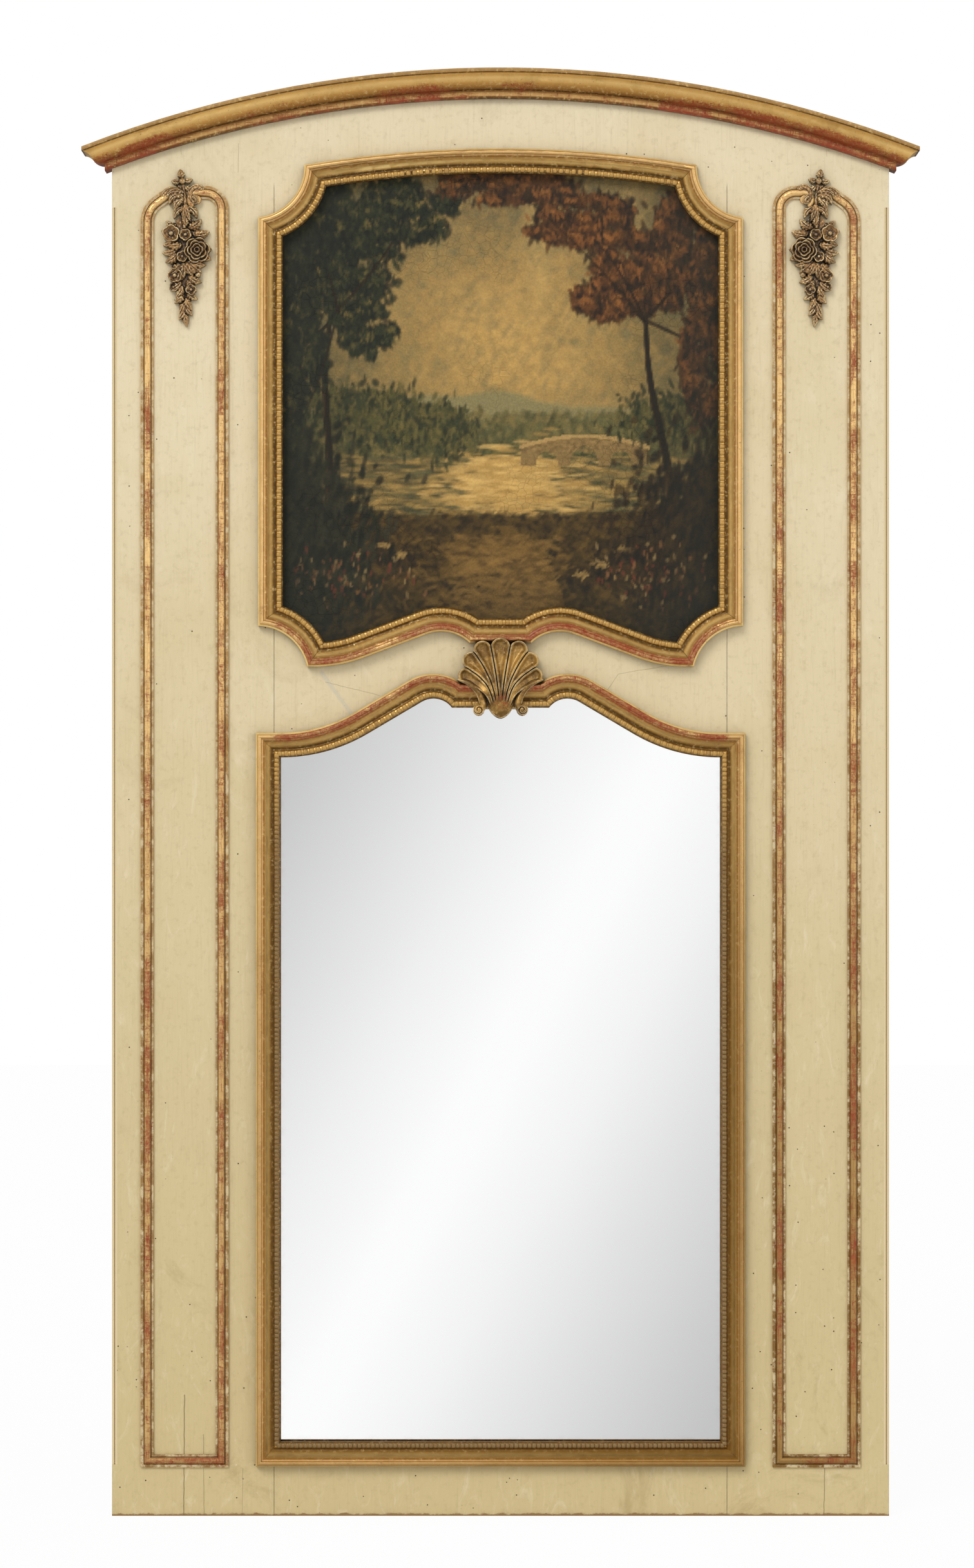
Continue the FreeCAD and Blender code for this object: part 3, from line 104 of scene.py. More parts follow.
class TrumeauSettings(bpy.types.PropertyGroup):
    """Colours, wear and sizes that a user would change."""

    cream_high: FloatVectorProperty(
        name="Cream, high", description="Paint near the cornice", subtype="COLOR", default=ink("#E2D3B0"))
    cream_low: FloatVectorProperty(
        name="Cream, low", description="Paint near the foot", subtype="COLOR", default=ink("#C8B585"))
    leaf: FloatVectorProperty(
        name="Gold leaf", description="Bright leaf on the mouldings", subtype="COLOR", default=ink("#EBCB8A"))
    bole: FloatVectorProperty(
        name="Bole", description="Red ground under the leaf", subtype="COLOR", default=ink("#8A2E0C"))
    rubbed: FloatProperty(
        name="Rubbed", description="How much of the leaf is rubbed away", default=0.5, min=0, max=1)
    bead_pitch: FloatProperty(
        name="Bead pitch", description="From bead to bead", default=0.0093, unit="LENGTH")
    rope_pitch: FloatProperty(
        name="Rope pitch", description="From bead to bead on the mirror's sides", default=0.0066,
        unit="LENGTH")
    carving_step: FloatProperty(
        name="Carving step", description="Grid of the carved pieces", default=0.00065, unit="LENGTH")
    camera_distance: FloatProperty(
        name="Camera distance", description="From the board to the camera", default=7.5, unit="LENGTH")
    seed: IntProperty(name="Seed", description="Of all random work", default=7)


def settings():
    return bpy.context.scene.trumeau


# Materials


class Nodes:
    """A node tree and short ways to fill it."""

    def __init__(self, tree):
        self.tree = tree

    def add(self, kind, *values, **options):
        """A node: values go to its inputs in order, a capitalised option to the input of that name."""
        node = self.tree.nodes.new(kind)
        for key, value in options.items():
            if key[0].isupper():
                self.put(node.inputs[key.replace("_", " ")], value)
            else:
                setattr(node, key, value)
        for socket, value in zip(node.inputs, values):
            self.put(socket, value)
        return node

    def put(self, socket, value):
        """Links a socket or sets a value; a colour may be given by its screen code."""
        if value is None:
            return
        if isinstance(value, bpy.types.NodeSocket):
            self.tree.links.new(value, socket)
        elif socket.type == "RGBA":
            value = ink(value) if isinstance(value, str) else value
            socket.default_value = (*value[:3], 1)
        else:
            socket.default_value = value

    def calc(self, kind, *values):
        return self.add("ShaderNodeMath", *values, operation=kind).outputs[0]

    def vector(self, kind, *values):
        node = self.add("ShaderNodeVectorMath", *values, operation=kind)
        return node.outputs["Value" if kind in ("LENGTH", "DISTANCE", "DOT_PRODUCT") else "Vector"]

    def scaled(self, value, scale):
        return self.add("ShaderNodeVectorMath", value, operation="SCALE", Scale=scale).outputs[0]

    def product(self, *values):
        result = values[0]
        for value in values[1:]:
            result = self.calc("MULTIPLY", result, value)
        return result

    def between(self, value, low, high, first=0.0, last=1.0):
        """Goes smoothly from first to last while value goes from low to high."""
        node = self.add("ShaderNodeMapRange", value, low, high, first, last, interpolation_type="SMOOTHSTEP")
        return node.outputs[0]

    def blend(self, share, first, second, way="MIX"):
        node = self.add("ShaderNodeMix", data_type="RGBA", blend_type=way)
        for socket, value in zip((0, 6, 7), (share, first, second)):
            self.put(node.inputs[socket], value)
        return node.outputs[2]

    def ramp(self, value, stops):
        """The colour at value between stops, each (value, screen colour or grey level)."""
        low, high = stops[0][0], stops[-1][0]
        node = self.add("ShaderNodeValToRGB")
        points = node.color_ramp.elements
        while len(points) < len(stops):
            points.new(0.5)
        for point, (where, tone) in zip(points, stops):
            point.position = (where - low) / (high - low)
            point.color = (*(ink(tone) if isinstance(tone, str) else (tone,) * 3), 1)
        self.put(node.inputs[0], self.add("ShaderNodeMapRange", value, low, high).outputs[0])
        return node.outputs[0]


class Finish(Nodes):
    """A material and the textures that its pattern is made with."""

    def __init__(self, name):
        self.material = bpy.data.materials.new(name)
        self.material.use_nodes = True
        super().__init__(self.material.node_tree)
        self.shader = self.tree.nodes["Principled BSDF"]
        self.place = self.add("ShaderNodeTexCoord").outputs["Object"]
        self.across, self.depth, self.up = self.add("ShaderNodeSeparateXYZ", self.place).outputs

    def stretched(self, x, y, z):
        return self.vector("MULTIPLY", self.place, (x, y, z))

    def noise(self, scale, detail=3.0, rough=0.5, place=None, twist=0.0):
        return self.add("ShaderNodeTexNoise", Vector=place or self.place, Scale=scale, Detail=detail,
                        Roughness=rough, Distortion=twist).outputs[0]

    def patches(self, texture, low, high, first=0.0, last=1.0):
        """Soft patches: from first to last where the noise (scale, detail, rough) goes from low to high."""
        return self.between(self.noise(*texture), low, high, first, last)

    def wander(self, scale, reach):
        """A push along the board of up to reach, as a vector."""
        cloud = self.add("ShaderNodeTexNoise", self.place, None, scale).outputs["Color"]
        return self.vector("MULTIPLY", cloud, (reach, 0, reach))

    def cells(self, scale, feature="F1"):
        return self.add("ShaderNodeTexVoronoi", feature=feature, Vector=self.place, Scale=scale).outputs

    def stand(self):
        """How far a point stands out of the board's face, in millimetres."""
        return self.calc("MULTIPLY_ADD", self.depth, -1000.0, FACE * 1000)

    def aside(self):
        """How far a point is from the middle line."""
        return self.calc("ABSOLUTE", self.across)

    def shade(self, reach):
        """1 in deep corners and 0 in the open."""
        node = self.add("ShaderNodeAmbientOcclusion", samples=4, Distance=reach)
        return self.calc("SUBTRACT", 1.0, node.outputs["AO"])

    def attribute(self, name, output="Fac"):
        return self.add("ShaderNodeAttribute", attribute_name=name).outputs[output]

    def finish(self, colour, rough, metal, relief, depth, specular=0.5):
        bump = self.add("ShaderNodeBump", Strength=1.0, Distance=depth, Height=relief).outputs[0]
        for name, value in (("Base Color", colour), ("Roughness", rough), ("Metallic", metal),
                            ("Specular IOR Level", specular), ("Normal", bump)):
            self.put(self.shader.inputs[name], value)
        return self.material


def near_line(f, start, end, width):
    """1 on a line of the board from start to end, each (x, z), and 0 beside it."""
    flat = f.vector("MULTIPLY", f.place, (1, 0, 1))
    flat = f.vector("ADD", f.vector("ADD", flat, f.wander(60.0, 0.002)), (-0.001, 0, -0.001))
    a, b = Vector((start[0], 0, start[1])), Vector((end[0], 0, end[1]))
    run = b - a
    share = f.vector("DOT_PRODUCT", f.vector("SUBTRACT", flat, a), run)
    share = f.add("ShaderNodeClamp", f.calc("DIVIDE", share, run.length_squared)).outputs[0]
    away = f.vector("DISTANCE", flat, f.vector("ADD", a, f.scaled(run, share)))
    return f.between(away, width * 0.4, width, 1.0, 0.0)


# Cracks in the board's paint: start, end (x, z) and width in metres, and how dark
CRACKS = [
    ((-0.467, 0.0), (-0.466, 0.178), 0.0008, 0.9),
    ((-0.437, 0.0), (-0.438, 0.120), 0.0006, 0.5),
    ((0.477, 0.0), (0.478, 0.070), 0.0007, 0.7),
    ((-0.471, 2.008), (-0.470, 2.034), 0.0005, 0.3),
    ((-0.387, 1.982), (-0.386, 2.024), 0.0005, 0.35),
    ((0.481, 2.006), (0.480, 2.030), 0.0005, 0.3),
    ((-0.258, 1.230), (-0.178, 1.210), 0.0005, 0.35),
    ((0.155, 1.214), (0.174, 1.242), 0.0005, 0.35),
    ((0.174, 1.242), (0.245, 1.254), 0.0005, 0.35),
    ((-0.381, 0.0), (-0.380, 0.070), 0.0005, 0.35),
]
REPAIR = ((-0.264, 1.244), (-0.219, 1.182), 0.0042)


def cream_paint():
    """Old cream distemper on boards: streaked, stained, cracked along its joints and wormed."""
    f = Finish("aged_cream_paint")
    s = settings()
    height = f.between(f.up, 0.0, 2.05)
    colour = f.blend(height, s.cream_low, s.cream_high)
    cloud = f.noise(3.2, 5, 0.6, twist=0.4)
    colour = f.blend(f.between(cloud, 0.42, 0.72, 0.0, 0.5), colour, "#CDBB8C")
    grain = f.noise(1.0, 6, 0.65, f.stretched(320, 40, 14), 0.6)
    colour = f.blend(f.between(grain, 0.5, 0.78, 0.0, 0.22), colour, "#A8956A")
    pale = f.noise(1.0, 6, 0.7, f.stretched(34, 40, 13), 1.6)
    colour = f.blend(f.between(pale, 0.52, 0.78, 0.0, 0.40), colour, "#EADDBE")
    mottle = f.noise(95, 4, 0.7)
    colour = f.blend(f.between(mottle, 0.50, 0.72, 0.0, 0.22), colour, "#A99468")
    stain = f.noise(7.5, 6, 0.7, twist=1.0)
    lower = f.between(f.up, 0.75, 0.0, 0.35, 1.0)
    colour = f.blend(f.product(f.between(stain, 0.55, 0.72, 0.0, 0.5), lower), colour, "#A28C5C")
    # dirt, old varnish and painted shade darken the paint beside whatever stands out of the board
    dirt_and_shade = f.product(f.shade(0.018), f.patches((28, 4, 0.6), 0.25, 0.75, 0.4, 1.0))
    colour = f.blend(f.between(dirt_and_shade, 0.10, 0.7, 0.0, 0.40), colour, "#8A7244")
    # worm holes, denser near the foot
    spots = f.cells(75)
    chosen = f.calc("GREATER_THAN", f.add("ShaderNodeSeparateColor", spots["Color"]).outputs[0],
                    f.between(f.up, 0.0, 0.9, 0.52, 0.88))
    hole = f.product(f.between(spots["Distance"], 0.05, 0.085, 1.0, 0.0), chosen)
    specks = f.product(f.patches((330, 3, 0.75), 0.68, 0.74), f.patches((9, 4, 0.6), 0.42, 0.6, 0.1, 0.6))
    # flakes where the priming shows
    flake = f.product(f.patches((55, 5, 0.75), 0.68, 0.72), f.patches((6, 3, 0.5), 0.48, 0.66))
    colour = f.blend(f.product(flake, 0.6), colour, "#E9DFC4")
    # open joints between stiles and rails, and cracks
    joint = f.calc("ABSOLUTE", f.calc("SUBTRACT", f.aside(), STILE_INSIDE))
    joint = f.calc("ADD", joint, f.product(f.noise(70, 3, 0.6), 0.0006))
    crack = f.between(joint, 0.0005, 0.0010, 1.0, 0.0)
    crack = f.product(crack, f.patches((9, 2, 0.5), 0.34, 0.46, 0.15, 0.8), f.between(f.up, 1.970, 1.955))
    for start, end, width, dark in CRACKS:
        crack = f.calc("MAXIMUM", crack, f.product(near_line(f, start, end, width), dark))
    colour = f.blend(f.product(crack, 0.62), colour, "#5C4A2C")
    repair = near_line(f, *REPAIR)
    colour = f.blend(f.product(repair, 0.40), colour, "#B9B7AA")
    colour = f.blend(specks, colour, "#6B5230")
    colour = f.blend(hole, colour, "#3A2B18")
    # the rubbed lower edge, where the wood is bare
    edge = f.calc("ADD", f.up, f.product(f.noise(60, 5, 0.7), -0.012))
    bare = f.between(edge, -0.004, -0.0015, 1.0, 0.0)
    colour = f.blend(bare, colour, "#8A6A3E")
    # bare wood on the back
    back = f.between(f.depth, -0.005, -0.002)
    colour = f.blend(back, colour, wood_colour(f))
    cut = f.calc("ADD", f.product(crack, 1.4), f.product(hole, 2.0))
    relief = f.calc("SUBTRACT", f.product(grain, 0.5), cut)
    relief = f.calc("ADD", relief, f.product(f.noise(14, 4, 0.5), 0.7))
    return f.finish(colour, f.between(cloud, 0.3, 0.8, 0.50, 0.66), 0.0, relief, 0.0006, 0.35)


def wood_colour(f):
    """Old softwood with its grain upright."""
    rings = f.noise(1.0, 5, 0.6, f.stretched(70, 70, 2.2), 0.8)
    colour = f.blend(f.between(rings, 0.35, 0.7), "#7C5F3B", "#A5855A")
    return f.blend(f.patches((5, 4, 0.6), 0.5, 0.8, 0.0, 0.5), colour, "#5F4628")


def bare_softwood():
    f = Finish("bare_softwood")
    grain = f.noise(1.0, 4, 0.6, f.stretched(240, 240, 6))
    return f.finish(wood_colour(f), 0.78, 0.0, grain, 0.0004, 0.25)


def forged_iron():
    f = Finish("forged_iron")
    rust = f.noise(90, 5, 0.7)
    colour = f.blend(f.between(rust, 0.45, 0.75), "#2B2724", "#5B3A24")
    return f.finish(colour, 0.62, 0.6, f.noise(220, 3, 0.6), 0.0004)


def gilding(name, bands, worn, reach=0.006, painted=None):
    """Old leaf: bands gives its tone across the profile, worn where bole shows, painted where it is cream."""
    f = Finish(name)
    s = settings()
    tone = bands(f)
    tone = f.blend(f.patches((26, 6, 0.7), 0.42, 0.72, 0.0, 0.32), tone, "#9A7232")
    tone = f.blend(f.patches((170, 5, 0.75), 0.50, 0.70, 0.0, 0.55), tone, s.leaf)
    # the leaf is dull and brown towards the foot, and more so at the right, where that is painted shade
    low = f.between(f.up, 1.45, 0.55, 0.0, 1.0)
    low = f.calc("ADD", f.product(low, 0.34), f.product(low, f.between(f.across, -0.2, 0.34), 0.30))
    low = f.calc("ADD", low, f.between(f.up, 0.13, 0.10, 0.0, 0.12))
    tone = f.blend(low, tone, "#744E10")
    cream = 0.0
    if painted:
        cream = painted(f)
        tone = f.blend(cream, tone, "#D6C298")
    # the bole shows in streaks along the run and in small rubs
    upright = f.noise(1.0, 7, 0.8, f.stretched(420, 300, 45), 0.8)
    level = f.noise(1.0, 7, 0.8, f.stretched(45, 300, 420), 0.8)
    streak = f.calc("MAXIMUM", upright, level)
    rub = f.calc("ADD", f.product(streak, 0.64), f.product(f.noise(13, 6, 0.75), 0.36))
    limit = f.calc("SUBTRACT", 0.70 - 0.06 * s.rubbed, f.product(worn(f), 0.17))
    gone = f.between(f.calc("SUBTRACT", rub, limit), -0.035, 0.045)
    bole = f.blend(f.patches((60, 4, 0.6), 0.45, 0.75), s.bole, "#9A4A1C")
    colour = f.blend(f.product(gone, f.patches((210, 5, 0.8), 0.36, 0.60, 0.62, 0.97)), tone, bole)
    # chips show the pale gesso
    chip = f.patches((240, 4, 0.75), 0.69, 0.73)
    chip = f.product(chip, f.patches((17, 4, 0.6), 0.46, 0.62))
    colour = f.blend(f.product(chip, 0.75), colour, "#E5D3B4")
    # grime and painted shade: darker wherever ambient occlusion finds a hollow
    grime_and_shade = f.between(f.shade(reach), 0.16, 0.70, 0.0, 0.92)
    specks = f.product(f.patches((300, 3, 0.7), 0.63, 0.71), 0.5)
    dark = f.calc("MAXIMUM", grime_and_shade, specks)
    colour = f.blend(dark, colour, "#43300F")
    dull = f.calc("MAXIMUM", f.calc("MAXIMUM", gone, dark), f.calc("MAXIMUM", chip, cream))
    metal = f.product(f.calc("SUBTRACT", 1.0, dull), 0.65)
    relief = f.calc("ADD", f.product(f.noise(190, 4, 0.6), 0.5), f.product(gone, -0.4))
    return f.finish(colour, f.patches((60, 4, 0.6), 0.3, 0.75, 0.32, 0.5), metal, relief, 0.00035, 0.3)


# The tones of the gilt profiles, by millimetres out of the board's face, or down from the cornice's top edge
# they mix the gilding's own colours with painted highlights on crests and painted shade in quirks
FRAME_BANDS = (
    (0, "#4A3214"), (6.2, "#5A3F18"), (6.8, "#8A6630"), (8, "#C79C54"), (10, "#F4D086"), (13, "#FFE298"),
    (15.8, "#CF9F56"), (17.6, "#A87C42"), (18.4, "#775226"), (19.4, "#C4955A"), (22, "#DCB274"))
SIDE_BANDS = (
    (0, "#CDB48C"), (4.7, "#A8804C"), (5.1, "#8A6434"), (5.8, "#C0985A"), (7.4, "#F2CC88"), (9, "#E4BC7E"))
CORNICE_BANDS = (
    (-2, "#7E6238"), (0, "#B5915C"), (5.0, "#9A7444"), (6.2, "#3E2608"), (7.4, "#E0B468"), (13, "#F0C67C"),
    (20, "#C8964E"), (27.5, "#8E6330"), (29.5, "#2E1A06"), (31.2, "#C4965A"), (36.5, "#C99C60"),
    (38.5, "#6A4820"), (43, "#3A240C"))


def frame_gilding():
    """From the beads' seat out: a quirk in painted shade, an ogee with a painted highlight, a brown flat and
    the rubbed round.
    """
    def worn(f):
        crest = f.between(f.stand(), 17.6, 19.2, 0.35, 1.0)
        middle = f.product(f.between(f.up, 1.10, 1.13), f.between(f.up, 1.38, 1.34),
                           f.between(f.aside(), 0.345, 0.325))
        return f.product(crest, f.calc("MULTIPLY_ADD", middle, 0.75, 0.35))

    return gilding("frame_gilding", lambda f: f.ramp(f.stand(), FRAME_BANDS), worn)


def rubbed_gilding():
    """Side mouldings: pale fillets beside a half round of brown gold, and the painted edge strips."""
    def worn(f):
        crest = f.between(f.stand(), 4.4, 6.4, 0.45, 0.86)
        edge = f.between(f.aside(), *EDGE_STRIP)
        return f.product(crest, f.calc("SUBTRACT", 1.0, f.product(edge, 0.75)))

    def painted(f):
        edge = f.between(f.aside(), *EDGE_STRIP)
        left = f.patches((70, 6, 0.8), 0.44, 0.60, 0.0, 0.85)
        return f.calc("MAXIMUM", edge, f.product(f.between(f.stand(), 5.0, 4.7), left))

    return gilding("rubbed_gilding", lambda f: f.ramp(f.stand(), SIDE_BANDS), worn, 0.0018, painted)


def cornice_gilding():
    """Each band by its distance below the arched top, in millimetres."""
    def below_top(f):
        rise = f.calc("SUBTRACT", f.up, ARCH[1])
        radius = f.calc("SQRT", f.calc("ADD", f.product(f.across, f.across), f.product(rise, rise)))
        return f.calc("MULTIPLY_ADD", radius, -1000.0, ARCH[2] * 1000)

    def worn(f):
        down = below_top(f)
        lower = f.product(f.between(down, 12.0, 24.0, 0.0, 1.1), f.patches((5, 3, 0.5), 0.40, 0.56))
        return f.calc("MAXIMUM", lower, f.between(down, 30.5, 32.0, 0.0, 0.7))

    return gilding("cornice_gilding", lambda f: f.ramp(below_top(f), CORNICE_BANDS), worn, 0.008)


def carved_gilding():
    """Toned gilding with painted shade in the cuts and painted highlights on the crests, by each carved
    piece's relief.
    """
    f = Finish("carved_gilding")
    relief = f.attribute("relief")
    side = f.between(f.aside(), 0.15, 0.2)
    shell = f.blend(f.patches((45, 6, 0.75), 0.40, 0.62), "#B48C48", "#6E4F20")
    drop = f.blend(f.patches((60, 5, 0.6), 0.35, 0.7), "#9C7648", "#6E4F2C")
    tone = f.blend(side, shell, drop)
    # painted highlights on the crests, broken up by noise
    crest = f.product(f.between(relief, 0.54, 0.9, 0.0, 0.85), f.patches((75, 5, 0.7), 0.38, 0.62, 0.15, 1.0))
    tone = f.blend(crest, tone, "#E6CE9C")
    tone = f.blend(f.patches((140, 6, 0.8), 0.56, 0.70, 0.0, 0.6), tone, "#6A4A22")
    tone = f.blend(f.patches((190, 4, 0.7), 0.60, 0.72, 0.0, 0.5), tone, "#EBD6A6")
    # red ground where hands have rubbed the shell's tongue
    rubbed = f.vector("DISTANCE", f.vector("MULTIPLY", f.place, (1, 0, 1)), (0.002, 0, RAIL - 0.002))
    rubbed = f.product(f.between(rubbed, 0.016, 0.004), f.patches((150, 5, 0.8), 0.42, 0.58, 0.0, 0.75))
    tone = f.blend(rubbed, tone, settings().bole)
    # painted shade in the cuts, by the relief and by ambient occlusion
    shaded_cuts = f.calc("MAXIMUM", f.between(relief, 0.48, 0.20), f.between(f.shade(0.009), 0.20, 0.70, 0.0, 0.92))
    colour = f.blend(shaded_cuts, tone, "#24160A")
    metal = f.product(f.calc("SUBTRACT", 1.0, shaded_cuts), 0.55)
    return f.finish(colour, 0.38, metal, f.noise(260, 4, 0.6), 0.0003)


def bead_gilding():
    """Beads: gold on top, painted shade dark between them, worn brown on the mirror's sides and foot."""
    f = Finish("bead_gilding")
    top = f.between(f.stand(), 7.4, 9.3)
    fresh = f.between(f.up, 0.95, 1.12)
    crown = f.blend(fresh, "#82673E", "#B68E4A")
    # painted shade: the seat and the gaps between beads go dark by height and by ambient occlusion
    colour = f.blend(f.product(top, f.between(f.shade(0.0016), 0.55, 0.25)), "#2E1E0A", crown)
    colour = f.blend(f.patches((80, 5, 0.7), 0.48, 0.68, 0.0, 0.6), colour, "#775428")
    return f.finish(colour, 0.48, f.product(top, 0.4), f.noise(500, 3, 0.6), 0.0003)


def painted_canvas():
    """Oil paint on linen, by the picture's own colours, with brush marks, weave and fine cracks."""
    f = Finish("painted_canvas")
    picture = f.attribute("picture", "Color")
    marks = f.noise(1.0, 4, 0.6, f.vector("ADD", f.stretched(150, 1, 260), f.wander(9.0, 20)))
    colour = f.blend(f.between(marks, 0.35, 0.75, 0.0, 0.22), picture, (1, 0.9, 0.7), "SOFT_LIGHT")
    colour = f.blend(f.patches((420, 3, 0.6), 0.3, 0.7, 0.25, 0.0), colour, (0, 0, 0), "SOFT_LIGHT")
    crack = f.cells(85, "DISTANCE_TO_EDGE")["Distance"]
    crack = f.product(f.between(crack, 0.008, 0.03, 1.0, 0.0), f.patches((8, 3, 0.5), 0.45, 0.62))
    colour = f.blend(f.product(crack, 0.16), colour, "#1C160C")
    weave = f.calc("ADD", *(f.calc("SINE", f.product(way, THREADS)) for way in (f.across, f.up)))
    relief = f.calc("ADD", f.product(weave, 0.12), f.calc("SUBTRACT", marks, crack))
    return f.finish(colour, 0.5, 0.0, relief, 0.0003, 0.2)


def silvered_glass():
    """An old plate: almost flat, faintly clouded near its edges."""
    f = Finish("silvered_glass")
    side = f.calc("SUBTRACT", MIRROR_HALF, f.aside())
    edge = f.calc("MINIMUM", side, f.calc("SUBTRACT", f.up, MIRROR_BOTTOM))
    fog = f.product(f.between(edge, 0.0, 0.010, 1.0, 0.0), f.patches((50, 4, 0.7), 0.40, 0.7), 0.12)
    colour = f.blend(fog, (0.97, 0.972, 0.975), "#8D8C8A")
    return f.finish(colour, 0.02, 1.0, f.noise(2.2, 2, 0.4), 0.0002)


MAKERS = {
    "aged_cream_paint": cream_paint,
    "frame_gilding": frame_gilding,
    "cornice_gilding": cornice_gilding,
    "rubbed_gilding": rubbed_gilding,
    "carved_gilding": carved_gilding,
    "painted_canvas": painted_canvas,
    "silvered_glass": silvered_glass,
    "bare_softwood": bare_softwood,
    "forged_iron": forged_iron,
    "bead_gilding": bead_gilding,
}


def material(name):
    found = bpy.data.materials.get(f"{name}_finish")
    if found:
        return found
    made = MAKERS[name]()
    made.name = f"{name}_finish"
    return made


# Sight lines


def crossing(first, second, side):
    """Where two circles (x, z, radius) cross, left (1) or right (-1) of the way from first to second."""
    dx, dz = second[0] - first[0], second[1] - first[1]
    apart = dx * dx + dz * dz
    along = (first[2] ** 2 - second[2] ** 2 + apart) / (2 * apart)
    across = side * math.sqrt(first[2] ** 2 / apart - along ** 2)
    return first[0] + along * dx - across * dz, first[1] + along * dz + across * dx


def cross_tangent(first, second):
    """The line that leaves the first circle from below and meets the second from above."""
    dx, dz = second[0] - first[0], second[1] - first[1]
    apart, radii = dx * dx + dz * dz, first[2] + second[2]
    length = math.sqrt(apart - radii * radii)
    nx, nz = (dx * radii + dz * length) / apart, (dz * radii - dx * length) / apart
    return ((first[0] + nx * first[2], first[1] + nz * first[2]),
            (second[0] - nx * second[2], second[1] - nz * second[2]))


def arc(circle, start, end):
    """Points of the shorter arc of a circle from start to end."""
    x, z, radius = circle
    first = math.atan2(start[1] - z, start[0] - x)
    turn = math.atan2(end[1] - z, end[0] - x) - first
    turn = (turn + math.pi) % (2 * math.pi) - math.pi
    angles = [first + turn * i / ARC_STEPS for i in range(ARC_STEPS + 1)]
    return [(x + radius * math.cos(angle), z + radius * math.sin(angle)) for angle in angles]


def painting_lines(out):
    """The left half of the painting's sight line, this far out, as one list of points for each moulding."""
    arch = (0, PAINTING_CREST - ARCH[2], ARCH[2] + out)
    high = (-PAINTING_HALF - 0.044, PAINTING_CREST + 0.010, 0.112 - out)
    low = (-PAINTING_HALF - 0.038, RAIL + 0.0325, 0.112 - out)
    sweep = (-PAINTING_HALF + 0.046, RAIL + 0.2555, 0.171 + out)
    hump = (-0.0875, RAIL + 0.0395, 0.097 - out)
    side = -PAINTING_HALF - out
    step = PAINTING_STEP - out
    head = crossing(high, arch, 1)
    upper = (side, high[1] - math.sqrt(high[2] ** 2 - (side - high[0]) ** 2))
    lower = (side, low[1] + math.sqrt(low[2] ** 2 - (side - low[0]) ** 2))
    foot = crossing(low, sweep, -1)
    leave, arrive = cross_tangent(sweep, hump)
    last = (hump[0] + math.sqrt(hump[2] ** 2 - (step - hump[1]) ** 2), step)
    return {
        "top": arc(arch, head, (0, arch[1] + arch[2])),
        "upper": arc(high, head, upper),
        "side": [upper, lower],
        "lower": arc(low, lower, foot),
        "bottom": arc(sweep, foot, leave) + arc(hump, arrive, last),
        "centre": [last, (0, step)],
    }


def mirror_lines(out):
    """The same for the mirror's sight line."""
    sweep = (-MIRROR_HALF, MIRROR_SHOULDER + 0.252, 0.252 - out)
    hump = (-0.099, RAIL - 0.032, 0.034 + out)
    side, base = -MIRROR_HALF - out, MIRROR_BOTTOM - out
    step = MIRROR_STEP + out
    leave, arrive = cross_tangent(sweep, hump)
    start = (-MIRROR_HALF, MIRROR_SHOULDER + out)
    last = (hump[0] + math.sqrt(hump[2] ** 2 - (step - hump[1]) ** 2), step)
    return {
        "side": [(side, base), (side, MIRROR_SHOULDER + out)],
        "top": [(side, MIRROR_SHOULDER + out)] + arc(sweep, start, leave) + arc(hump, arrive, last),
        "centre": [last, (0, step)],
        "bottom": [(side, base), (0, base)],
    }


def whole_lines(halves, joined):
    """Both halves: those in joined run through the middle line, the others come twice."""
    result = []
    for name, line in halves.items():
        other = [(-x, z) for x, z in line]
        if name in joined:
            result.append(line + other[::-1][1:])
        else:
            result += [line, other]
    return result


def shortened(line, cut):
    """The same line without its first and last stretch."""
    points = [Vector((x, 0, z)) for x, z in line]
    for _ in range(2):
        left = cut
        while len(points) > 2 and (points[1] - points[0]).length < left:
            left -= (points[1] - points[0]).length
            points.pop(0)
        points[0] = points[0] + (points[1] - points[0]).normalized() * left
        points.reverse()
    return points


# Pieces


def show(name, data):
    """A new object in the scene."""
    thing = bpy.data.objects.new(name, data)
    bpy.context.scene.collection.objects.link(thing)
    return thing


def add_piece(name, mesh, look, replaced=()):
    """Shows a finished mesh as part of the object."""
    piece = show(name, mesh)
    if look:
        mesh.materials.clear()
        mesh.materials.append(look)
    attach(piece, "root")
    for node in replaced:
        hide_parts(node)


